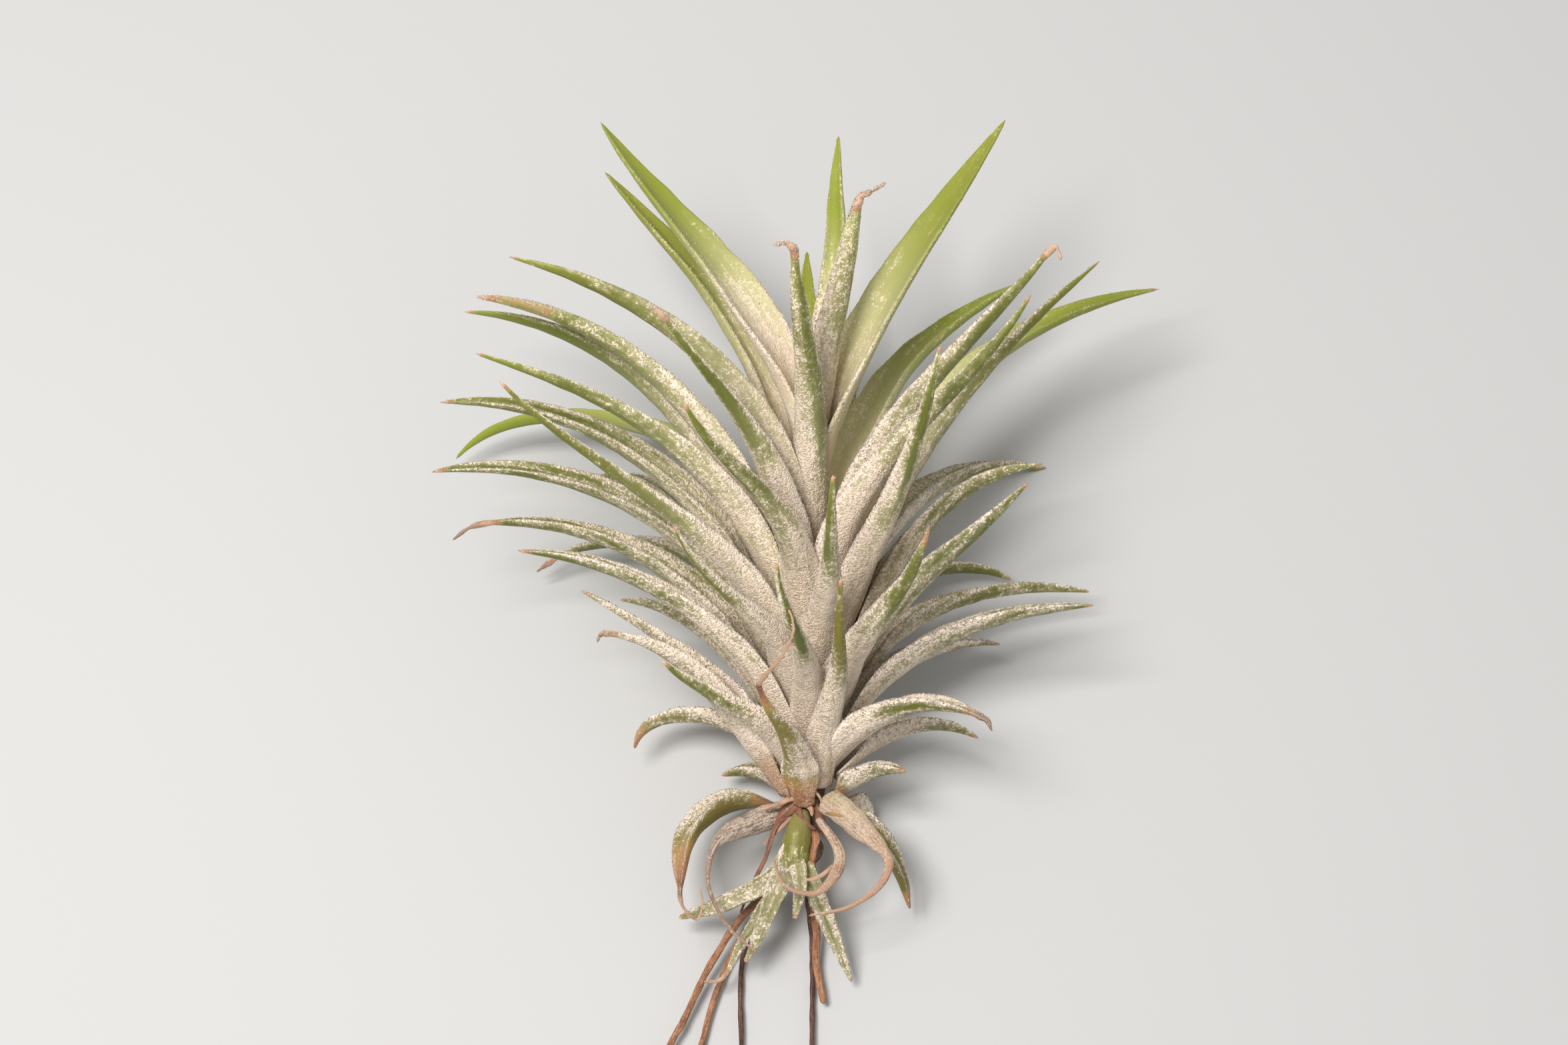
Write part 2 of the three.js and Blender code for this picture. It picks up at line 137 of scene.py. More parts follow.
# Each leaf, from the heart outwards: where its tip is seen, [right, up, out],
# the blade's direction at its root and at its tip, in degrees from the stem's, which over 90 droops,
# and its greatest width over LEAF_WIDTH.
LEAVES = [
    [4.1, 88.8, -12, 4, 10, 0.75],
    [-28.3, 90.7, -10, 3, 33, 1.25],
    [7.2, 80.5, 6, 4, 8, 0.85],
    [-0.2, 73, -20, 6, 30, 0.8],
    [-40.8, 72.3, 6, 24, 76, 0.95],
    [26.9, 91, -8, 2, 33, 1.25],
    [-27.8, 83.9, -16, 6, 44, 1.05],
    [-1.9, 73.2, 18, 8, 20, 0.85],
    [28.9, 68.7, -22, 18, 66, 1],
    [-45.4, 66.8, 0, 22, 82, 1],
    [33.1, 73, 12, 16, 42, 0.95],
    [-8, 65, -26, 20, 60, 0.95],
    [-19.8, 64.1, 24, 16, 50, 0.85],
    [47.9, 67.9, -16, 20, 80, 0.95],
    [-47, 64.8, -8, 22, 86, 0.95],
    [30.5, 67.1, 20, 24, 36, 0.9],
    [8, 58, -29, 20, 72, 1],
    [-45.4, 59.1, 12, 18, 74, 0.95],
    [39.8, 71.7, -2, 22, 50, 0.95],
    [-48.1, 44.7, -26, -4, 134, 0.95],
    [-16.8, 52.2, 28, 16, 42, 0.8],
    [32.5, 43, -30.5, 24, 100, 1.05],
    [-50.2, 52.4, -4, 20, 92, 1.05],
    [18.2, 60.2, 26, 24, 24, 0.9],
    [-2.6, 49, -28, 24, 84, 1],
    [-42.2, 55.4, 24, 34, 48, 0.85],
    [32, 44, 2, 28, 82, 1.15],
    [-31.8, 41, -30, 26, 106, 0.95],
    [3.2, 42.5, 28, 14, 20, 0.75],
    [27.8, 28.1, -20, 30, 114, 0.9],
    [-51.5, 42.9, 4, 18, 98, 1.05],
    [30, 41.5, 16, 28, 46, 1.15],
    [-35.3, 30.5, -18, 16, 122, 0.9],
    [-18.4, 35.6, 25, 30, 34, 0.8],
    [38.5, 26.5, -14, 32, 98, 0.8],
    [-44.4, 35.8, 0, 24, 94, 1],
    [16.8, 35.4, 22, 30, 30, 0.95],
    [3, 30, -19, 34, 98, 0.95],
    [-39.6, 32.1, 10, 32, 86, 0.9],
    [39, 24.7, 4, 34, 86, 1.2],
    [-25.7, 25.4, -6, 40, 88, 0.85],
    [-4.3, 30.5, 25, 14, 12, 0.7],
    [26.2, 19.3, -12, 44, 100, 0.9],
    [-31, 26.7, 8, 36, 62, 0.9],
    [23.5, 9.4, 14, 44, 112, 1],
    [-3.4, 15, -13.6, 44, 104, 0.85],
    [-20, 17.1, 17, 44, 54, 0.9],
    [23.2, 6.5, -2, 48, 122, 0.8],
    [-23.7, 5.1, -6, 16, 170, 0.85],
    [4.5, 28.4, 22, 14, 12, 0.7],
    [3.7, 6, -9.5, 54, 118, 0.8],
    [-27.6, 20.8, 12, 40, 84, 0.85],
    [13.4, 1.9, 4, 56, 104, 0.85],
    [-11.8, 1.4, -7, 56, 112, 0.8],
    [-6.6, 13.5, 19, 36, 46, 0.75],
    [8.5, -9, -9.2, 70, 150, 0.8],
    [-17.6, -14.6, 10, 70, 174, 1.05],
    [13.9, -16.8, 1, 88, 166, 0.75],
]

# Dried ends that carry a leaf on past its living tip, by its place in LEAVES: steps [right, up, out]
DRY_ENDS = {
    2: [[1.3, 0.6, 0.2], [2, 1.2, 0.3]],
    7: [[-1, 0.9, 0.4], [-1.6, -0.2, 0.2]],
    10: [[0.8, 0.6, 0.2], [0.7, -1.8, 0.4]],
    12: [[-1, 0.9, 0.5], [-0.9, 0.3, 0.3]],
    32: [[-1.9, -1.3, -0.6]],
    35: [[-2, -0.6, 0], [-2.2, -1.6, 0]],
    44: [[0.9, -0.5, 0.1], [0.6, -1.3, 0.1]],
    51: [[-0.7, -0.2, 0], [-0.5, -1, 0]],
    54: [[1.1, 1.8, 1.4], [1.4, 1.7, 1.2], [1.1, 1.9, 0.6], [0.7, 2, 0.4], [-0.2, 1.9, 0],
         [-0.6, 1.1, -0.2]],
    56: [[0.5, -2, 0.2], [1.9, -1.5, 0.3], [0.8, 2.1, 0.3], [-0.3, 2.1, 0.2]],
}

# How a leaf's end has withered: over what length, and how pink it went, from 0, brown, to 1, pink
WITHERED = {
    0: (0.6, 0.3), 1: (0.5, 0.3), 2: (3.5, 0.95), 3: (0.4, 0.2), 5: (0.4, 0.1), 6: (0.5, 0.3),
    7: (2.2, 0.25), 9: (4.5, 1.0), 10: (2.0, 0.8), 12: (1.6, 0.6), 14: (2.5, 0.7), 15: (2.2, 0.5),
    19: (0.6, 0.2), 22: (3, 0.8), 25: (3, 0.8), 30: (3.6, 0.8), 32: (5, 0.7), 35: (4, 0.6), 36: (5, 0.3),
    38: (3, 0.7), 43: (2.6, 0.5), 44: (4, 0.1), 46: (2.2, 0.9), 48: (6, 0.2), 51: (3, 0.5), 54: (8, 0.0),
    56: (13, 0.05), 57: (5, 0.2),
}
TIP_WITHERED = (1.7, 0.55)

# Leaves whose ends are crusted with scales: over what length, and how dry the leaf is under them
CRUSTED = {2: (4, 0.0), 7: (4, 0.0), 9: (14, 0.3), 12: (6, 0.0)}

# How closely scurf covers a leaf, and how far it has worn off its outer face, both from 0 to 1,
# where they aren't DEFAULT_SCURF. A few covers are painted light and shade: leaves 26, 31, 34 and 39, at
# the right, have less, a greyer green that is painted shade for the shadow over them, and leaf 8 has
# more, a paler veil that is painted light on a leaf that lies in its neighbours' shade
SCURF_AND_PAINTED_LIGHT = {
    0: (0.48, 0.5), 1: (0.30, 0.7), 2: (0.70, 0.4), 3: (0.38, 0.5), 4: (0.34, 0.6), 5: (0.26, 0.4),
    6: (0.42, 0.6), 7: (0.78, 0.45), 8: (0.26, 0.3), 9: (0.44, 0.4), 10: (0.64, 0.9), 11: (0.45, 0.4),
    12: (0.78, 0.55), 13: (0.2, 0.5), 14: (0.34, 0.4), 15: (0.68, 0.9), 16: (0.45, 0.4), 17: (0.44, 0.5),
    18: (0.5, 0.7), 19: (0.04, 0.4), 20: (0.62, 0.9), 21: (0.5, 0.4), 22: (0.38, 0.4), 23: (0.87, 0.5),
    24: (0.5, 0.4), 25: (0.58, 0.8), 26: (0.46, 0.3), 27: (0.42, 0.4), 28: (0.86, 0.65), 29: (0.5, 0.4),
    30: (0.40, 0.4), 31: (0.52, 0.4), 32: (0.42, 0.4), 33: (0.86, 0.55), 34: (0.46, 0.3), 35: (0.44, 0.5),
    36: (0.76, 0.9), 38: (0.54, 0.5), 39: (0.46, 0.2), 40: (0.56, 0.5), 41: (0.82, 0.5), 44: (0.84, 0.6),
    46: (0.78, 0.85), 48: (0.62, 0.6), 49: (0.76, 1.05), 52: (0.5, 0.3), 53: (0.5, 0.3), 54: (0.76, 0.8),
    56: (0.44, 1.0), 57: (0.2, 0.5),
}
DEFAULT_SCURF = (0.78, 0.5)
WHITE_PATCHED = 1  # the leaf with a whiter patch near its foot

# How olive the tissue is, from 0, green, to 1, olive yellow, where it isn't the leaf's own chance
OLIVE = {
    7: 0.1, 12: 0.05, 20: 0.1, 23: 0.1, 28: 0.1, 41: 0.1, 48: 0.6, 49: 0.75, 54: 1.0, 56: 1.0, 57: 0.8,
}

# Lime leaves grew in shade, with hardly any scurf
LIME = {8, 13, 19}

# How young the tissue looks, from 0, dark green, to 1, lime, where it isn't by the leaf's age. Leaf 2's is
# raised partly for its own lighter colour and partly as painted light, lightening a face that lies in shade
YOUTH_AND_PAINTED_LIGHT = {
    **dict.fromkeys({2, 4}, 0.5), **dict.fromkeys({7, 10, 12, 15, 20, 23, 28}, 0.3),
    **dict.fromkeys(LIME, 1.0),
}

# Worn stripes on the outer face: from one share of the leaf's length to another, at a place across it,
# and how wide
WORN_STRIPES = {
    7: (0.16, 1.0, 0.42, 0.4), 12: (0.42, 1.0, 0.35, 0.45), 23: (0.3, 1.0, -0.15, 0.26),
    28: (0.5, 1.0, -0.2, 0.3), 33: (0.6, 1.0, 0.1, 0.25), 41: (0.5, 1.0, 0.2, 0.3),
    44: (0.3, 0.9, -0.62, 0.22), 54: (0.1, 0.97, -0.45, 0.5), 56: (0.0, 0.9, 0.1, 0.8),
}

# How far a leaf is turned about its midrib to show its channel, from 0 to 1
TURNED = {1: 0.45, 5: 0.4, 6: 0.1, 8: 0.2, 13: 0.25, 14: 0.15, 22: 0.25, 30: 0.3, 35: 0.25, 38: 0.2}

# How much narrower than its formula a leaf gets towards the tip
SLENDER = {
    7: 0.12, 9: 0.15, 10: 0.3, 12: 0.42, 14: 0.15, 15: 0.32, 17: 0.32, 18: 0.2, 20: 0.3, 22: 0.15, 23: 0.34,
    25: 0.52, 28: 0.38, 30: 0.15, 33: 0.42, 35: 0.15, 36: 0.3, 38: 0.15, 41: 0.38, 43: 0.32, 46: 0.32,
    49: 0.4, 54: 0.36,
}

# The power by which a leaf closes towards its tip, where it isn't TIP_BLUNTNESS: the lower, the blunter
BLUNT = {2: 0.36, 7: 0.65, 9: 0.5, 10: 0.65, 14: 0.65, 22: 0.68, 30: 0.68, 35: 0.6, 38: 0.66}

# Leaves whose dried end is a thin thread, and how pink a dried end is where it isn't PINK_END
THREADS = {54, 56}
PINK_END = 0.95
END_BLUSH = {32: 0.5, 35: 0.5, 44: 0.1, 51: 0.3, 54: 0.6, 56: 0.7}


def smooth(x, low, high):
    """The smooth step: 0 below low, 1 above high, and a cubic between them."""
    t = np.clip((x - low) / (high - low), 0, 1)
    return t * t * (3 - 2 * t)


def mix(a, b, t):
    """a where t is 0, b where it is 1, in proportion between."""
    return a + (b - a) * t


def unit(vectors):
    """The vectors, scaled to length 1."""
    return vectors / np.linalg.norm(vectors, axis=-1, keepdims=True)


def square_to(vectors, tangents):
    """The part of each vector that stands square to its tangent, scaled to length 1."""
    return unit(vectors - (vectors * tangents).sum(-1, keepdims=True) * tangents)


def travelled(path):
    """The distance along a path up to each of its points: the running sum of its steps."""
    return np.concatenate([[0.0], np.cumsum(np.linalg.norm(np.diff(path, axis=0), axis=1))])


def ripple(distance, size, wavelength, rng):
    """A smooth random wave of about a size: the mean of sines near one wavelength, with seeded phases."""
    lengths = wavelength * rng.uniform(0.6, 1.7, RIPPLE_WAVES)
    phases = rng.uniform(0, 2 * np.pi, RIPPLE_WAVES)
    return size * (1.4 * np.sin(2 * np.pi * distance[..., None] / lengths + phases).mean(-1))


def cubic(start, leave, end, arrive, u):
    """The cubic from start to end with the slopes leave and arrive there, at the shares u of its way."""
    return (
        start * (2 * u**3 - 3 * u**2 + 1)
        + leave * (u**3 - 2 * u**2 + u)
        + end * (3 * u**2 - 2 * u**3)
        + arrive * (u**3 - u**2)
    )


def curve_through(knots, count):
    """Points evenly spaced along the smooth curve through the knots.

    Between two knots runs a cubic. Its slope at a knot comes from the chords on both sides, over knot
    spacings that are the square roots of the chords, which keeps short bends from overshooting.
    """
    knots = np.asarray(knots, float)
    ends = np.vstack([2 * knots[0] - knots[1], knots, 2 * knots[-1] - knots[-2]])
    chords = np.diff(ends, axis=0)
    spacing = np.sqrt(np.linalg.norm(chords, axis=1))[:, None]
    both = (ends[2:] - ends[:-2]) / (spacing[:-1] + spacing[1:])
    slopes = chords[:-1] / spacing[:-1] - both + chords[1:] / spacing[1:]
    leave, arrive = slopes[:-1] * spacing[1:-1], slopes[1:] * spacing[1:-1]
    u = np.linspace(0, 1, CURVE_STEPS)[None, :, None]
    line = cubic(knots[:-1, None], leave[:, None], knots[1:, None], arrive[:, None], u).reshape(-1, 3)
    line = line[np.concatenate([[True], np.linalg.norm(np.diff(line, axis=0), axis=1) > 1e-9])]
    distance = travelled(line)
    even = np.linspace(0, distance[-1], count)
    return np.stack([np.interp(even, distance, line[:, axis]) for axis in range(3)], -1)


def along(values, count):
    """Given values spread evenly over a way, with a cubic run between each two."""
    values = np.asarray(values, float)
    slope = np.gradient(values)
    way = np.linspace(0, len(values) - 1, count)
    k = np.minimum(way.astype(int), len(values) - 2)
    return cubic(values[k], slope[k], values[k + 1], slope[k + 1], way - k)


def plant_origin():
    """Where the plant frame's origin lies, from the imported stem, whose foot's rim is its lowest corner."""
    low, high = (np.array(corner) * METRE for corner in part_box("stem"))
    return np.array([
        (low[0] + high[0]) / 2,
        low[1] - STEM_FOOT * COSINE + STEM_FOOT_RADIUS * SINE,
        low[2] - STEM_FOOT * SINE + STEM_FOOT_RADIUS * COSINE,
    ])


ORIGIN = plant_origin()


def place(points):
    """Plant-frame points in metres where the plant lies: turned about x by the tilt, then shifted.

    What would reach below the surface lies on it.
    """
    x, y, z = np.moveaxis(np.asarray(points, float), -1, 0)
    placed = np.stack([x, y * COSINE - z * SINE, y * SINE + z * COSINE], -1) + ORIGIN
    placed[..., 2] = np.maximum(placed[..., 2], RESTING_HEIGHT)
    return placed / METRE


def resting(rings):
    """The rings, each raised as a whole by as much as its lowest point would be below the surface."""
    upwards = np.array([0.0, SINE, COSINE])
    heights = rings @ upwards + ORIGIN[2]
    lift = np.maximum(RESTING_HEIGHT - heights.min(1), 0)
    return rings + lift[:, None, None] * upwards


def stem_radius(height):
    """The stem's radius up the plant: even at first, then tapering to the crown by a smooth step."""
    return mix(STEM_RADIUS, CROWN_RADIUS, smooth(height, TAPER_START, CROWN_HEIGHT))


def skin(rings):
    """Triangles over rings of points, each ring closed, with a fan onto a pole at either end.

    Returns the vertices, rings first and then the two poles, and the triangles, facing out.
    """
    count, sides = rings.shape[:2]
    i = np.arange(count - 1)[:, None] * sides
    j = np.arange(sides)[None]
    k = (j + 1) % sides
    a, b, c, d = i + j, i + k, i + sides + k, i + sides + j
    walls = np.concatenate([np.stack([a, b, c], -1), np.stack([a, c, d], -1)]).reshape(-1, 3)
    first, last = count * sides, count * sides + 1
    j, k = j[0], k[0]
    foot = np.stack([np.full(sides, first), k, j], -1)
    head = np.stack([np.full(sides, last), j + first - sides, k + first - sides], -1)
    vertices = np.vstack([rings.reshape(-1, 3), rings[0].mean(0), rings[-1].mean(0)])
    return vertices, np.vstack([walls, foot, head])


def on_skin(values):
    """Values given on rings, in the vertex order of skin(): the poles take their ring's mean."""
    flat = values.reshape(values.shape[0] * values.shape[1], *values.shape[2:])
    return np.concatenate([flat, values[:1].mean(1), values[-1:].mean(1)])


class Surface:
    """Vertices, triangles and surface values of one piece, gathered in parts before its mesh is made."""

    def __init__(self):
        self.parts = []
        self.count = 0

    def add(self, vertices, triangles, values):
        """Adds a part. A value is a number, or an array with a row for each vertex."""
        rows = {
            name: value if np.ndim(value) else np.full(len(vertices), float(value))
            for name, value in values.items()
        }
        self.parts.append((place(vertices), triangles + self.count, rows))
        self.count += len(vertices)

    def add_rings(self, rings, values):
        """Adds the skin over the rings. A value is a number, or an array given on the rings."""
        vertices, triangles = skin(rings)
        rows = {name: on_skin(value) if np.ndim(value) else value for name, value in values.items()}
        self.add(vertices, triangles, rows)

    def mesh(self, name):
        """The parts as one mesh, shaded smooth, with each value as a point attribute."""
        vertices, triangles, rows = zip(*self.parts)
        vertices = np.concatenate(vertices).astype(np.float32)
        triangles = np.concatenate(triangles).astype(np.int32)
        mesh = bpy.data.meshes.new(name)
        mesh.vertices.add(len(vertices))
        mesh.vertices.foreach_set("co", vertices.ravel())
        mesh.loops.add(triangles.size)
        mesh.loops.foreach_set("vertex_index", triangles.ravel())
        mesh.polygons.add(len(triangles))
        mesh.polygons.foreach_set("loop_start", np.arange(0, triangles.size, 3, dtype=np.int32))
        mesh.update(calc_edges=True)
        mesh.shade_smooth()
        for value in rows[0]:
            data = np.concatenate([part[value] for part in rows]).astype(np.float32)
            kind, field = ("FLOAT_VECTOR", "vector") if data.ndim == 2 else ("FLOAT", "value")
            mesh.attributes.new(value, kind, "POINT").data.foreach_set(field, data.ravel())
        mesh.validate()
        return mesh


def add_object(name, data):
    """An object of the scene, at its origin."""
    made = bpy.data.objects.new(name, data)
    bpy.context.scene.collection.objects.link(made)
    return made


def piece(name, surface, material, solid):
    """Makes the surface a finished piece that rides on the plant and stands for the named solid."""
    made = add_object(name, surface.mesh(name))
    made.data.materials.append(material)
    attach(made, "root")
    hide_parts(solid)


def skinned(name, rings, material, slot, solid, **values):
    """Makes a piece of the skin over the rings."""
    surface = Surface()
    surface.add_rings(rings, values)
    piece(name, surface, material, solid)


def node(tree, kind, inputs=None, **settings):
    """A shader node. Each of its inputs is a constant, or the output that feeds it."""
    made = tree.nodes.new("ShaderNode" + kind)
    for setting, value in settings.items():
        setattr(made, setting, value)
    for key, value in (inputs or {}).items():
        if isinstance(value, bpy.types.NodeSocket):
            tree.links.new(value, made.inputs[key])
        else:
            made.inputs[key].default_value = value
    return made


def maths(tree, operation, *values):
    """The result of a Math node on the values."""
    return node(tree, "Math", dict(enumerate(values)), operation=operation).outputs[0]


def ramp(tree, value, low, high, start=0.0, end=1.0):
    """The value's smooth step from low to high, given out from start to end."""
    inputs = {"Value": value, 1: low, 2: high, 3: start, 4: end}
    return node(tree, "MapRange", inputs, interpolation_type="SMOOTHSTEP").outputs[0]


def blend(tree, factor, colour, other):
    """Two colours mixed by the factor."""
    return node(tree, "Mix", {0: factor, 6: colour, 7: other}, data_type="RGBA").outputs[2]


def noise(tree, where, scale, detail, roughness):
    """The value of a noise texture at a place."""
    inputs = {"Vector": where, "Scale": scale, "Detail": detail, "Roughness": roughness}
    return node(tree, "TexNoise", inputs).outputs["Fac"]


def value_of(tree, name, output="Fac"):
    """A piece's own surface value, or its own surface vector, which is the node's Vector output."""
    return node(tree, "Attribute", attribute_name=name).outputs[output]


def colour_ramp(tree, value, stops):
    """The value's colour on a ramp through the stops, each a position and a colour."""
    made = node(tree, "ValToRGB", {"Fac": value})
    elements = made.color_ramp.elements
    for element, stop in ((elements[0], stops[0]), (elements[1], stops[-1])):
        element.position, element.color = stop
    for position, colour in stops[1:-1]:
        elements.new(position).color = colour
    return made.outputs[0]


def new_group(name, inputs):
    """An empty shader group and what it is given. An input is a socket's kind and default."""
    group = bpy.data.node_groups.new(name, "ShaderNodeTree")
    for socket, (kind, default) in inputs.items():
        made = group.interface.new_socket(socket, in_out="INPUT", socket_type="NodeSocket" + kind)
        if default is not None:
            made.default_value = default
    return group, group.nodes.new("NodeGroupInput").outputs


def put_out(group, results):
    """Gives the group its outputs, each a socket's kind and what feeds it."""
    for name, (kind, _) in results.items():
        group.interface.new_socket(name, in_out="OUTPUT", socket_type="NodeSocket" + kind)
    out = group.nodes.new("NodeGroupOutput")
    for name, (_, source) in results.items():
        group.links.new(source, out.inputs[name])


def use_group(tree, group, inputs):
    """A group placed in a material with its own values. Returns its outputs."""
    return node(tree, "Group", inputs, node_tree=group).outputs


def scurf_group():
    """Silver scales: where grains and a thin veil lie, how their shade varies, and how high they stand.

    Cover, from 0 to 1, is the share of the surface that they hide. Clumps, patches and streaks push it up
    and down into a level. The veil is a wide step of the level. A grain is a cell of a fine Voronoi
    pattern, with a chance of its own, and lies where level and chance together pass a narrower step. It is
    a dome.
    """
    group, given = new_group("scurf", {"Cover": ("Float", 0.7), "Streaks": ("Float", 0.5)})
    where = node(group, "TexCoord").outputs["Object"]
    grains = node(group, "TexVoronoi", {"Vector": where, "Scale": 4200.0, "Randomness": 1.0})
    clumps = noise(group, where, 1250.0, 3.0, 0.7)
    patches = noise(group, where, 240.0, 3.0, 0.6)
    chance = node(group, "SeparateColor", {"Color": grains.outputs["Color"]}).outputs[0]
    dome = ramp(group, grains.outputs["Distance"], 0.0, 0.75, 1.0, 0.0)

    def pushed(value, by, strength):
        return maths(group, "MULTIPLY_ADD", maths(group, "SUBTRACT", by, 0.5), strength, value)

    level = pushed(pushed(pushed(given["Cover"], clumps, 0.95), patches, 0.65), given["Streaks"], 1.35)
    mask = ramp(group, pushed(level, chance, 0.5), 0.38, 0.74)
    shade = maths(group, "MULTIPLY_ADD", chance, 0.4, maths(group, "MULTIPLY", clumps, 0.6))
    height = maths(group, "MULTIPLY", mask, maths(group, "MULTIPLY_ADD", dome, 0.7, shade))
    put_out(group, {
        "Mask": ("Float", mask), "Veil": ("Float", ramp(group, level, 0.08, 0.62)),
        "Shade": ("Float", shade), "Height": ("Float", height),
    })
    return group


def fibre_group():
    """Fine lines along a blade: noise on the blade's own millimetres, drawn out lengthwise."""
    group, given = new_group(
        "fibres", {"Blade": ("Vector", None), "Across": ("Float", 3.0), "Along": ("Float", 0.12)})
    scale = node(group, "CombineXYZ", {0: given["Across"], 1: given["Along"], 2: given["Across"]})
    drawn_out = node(group, "VectorMath", {0: given["Blade"], 1: scale.outputs[0]}, operation="MULTIPLY")
    put_out(group, {"Lines": ("Float", noise(group, drawn_out.outputs[0], 1.0, 3.0, 0.6))})
    return group


# The colours that a leaf's end goes through as it dries to brown or to pink, each with its dryness
TO_BROWN = [
    (0.2, (0.24, 0.205, 0.045, 1)), (0.45, (0.40, 0.235, 0.07, 1)), (0.7, (0.34, 0.145, 0.06, 1)),
    (1.0, (0.12, 0.05, 0.028, 1)),
]
TO_PINK = [
    (0.2, (0.42, 0.33, 0.14, 1)), (0.42, (0.42, 0.19, 0.10, 1)), (0.65, (0.70, 0.47, 0.34, 1)),
    (1.0, (0.62, 0.40, 0.27, 1)),
]


def withering_group():
    """How a living colour dies back: yellow, then tan, then brown, or pink where the blush is high.

    Dryness, roughened by fine noise, runs from 0 to 1. The colour leaves the living one at about 0.15.
    """
    group, given = new_group(
        "withering", {"Living": ("Color", None), "Dryness": ("Float", 0.0), "Blush": ("Float", 0.3)})
    where = node(group, "TexCoord").outputs["Object"]
    rough = maths(group, "SUBTRACT", noise(group, where, 1300.0, 3.0, 0.65), 0.5)
    dryness = maths(group, "MULTIPLY_ADD", rough, 0.5, given["Dryness"])
    dead = ramp(group, dryness, 0.12, 0.36)
    withered = blend(
        group, given["Blush"], colour_ramp(group, dryness, TO_BROWN), colour_ramp(group, dryness, TO_PINK))
    colour = blend(group, dead, given["Living"], withered)
    put_out(group, {"Color": ("Color", colour), "Dead": ("Float", dead)})
    return group


SCURF = scurf_group()
FIBRES = fibre_group()
WITHERING = withering_group()


def new_material(name, **constants):
    """A material with one Principled shader, whose constants are set on its own sockets."""
    material = bpy.data.materials.new(name)
    material.use_nodes = True
    tree = material.node_tree
    shader = tree.nodes["Principled BSDF"]
    for socket, value in constants.items():
        shader.inputs[socket.replace("_", " ")].default_value = value
    return material, tree, shader


def feed(tree, shader, colour, roughness, height, relief):
    """Feeds the shader its colour, its roughness and a bump of the height, with its relief in metres."""
    bump = node(tree, "Bump", {"Height": height, "Distance": relief, "Strength": 1.0})
    for socket, source in (("Base Color", colour), ("Roughness", roughness), ("Normal", bump.outputs[0])):
        tree.links.new(source, shader.inputs[socket])


# Colours of the living leaf: its tissue, the tissue under a thin veil of scales, and the scales
DARK_TISSUE = (0.085, 0.112, 0.012, 1)
LIME_TISSUE = (0.26, 0.32, 0.028, 1)
OLIVE_TISSUE = (0.17, 0.130, 0.018, 1)
BLANCHED_TISSUE = (0.93, 0.86, 0.60, 1)
FIBRE = (0.25, 0.25, 0.06, 1)
VEILED = (0.39, 0.355, 0.22, 1)
VEILED_LIME = (0.37, 0.375, 0.11, 1)
VEILED_BLANCHED = (0.80, 0.73, 0.50, 1)
SCALE_SHADE = (0.64, 0.52, 0.41, 1)
SCALE_LIGHT = (0.98, 0.86, 0.73, 1)
YOUNG_SCALE = (0.66, 0.64, 0.33, 1)
DRY_SCALE = (0.70, 0.47, 0.36, 1)
STANDING_SCALE = (0.97, 0.87, 0.75, 1)


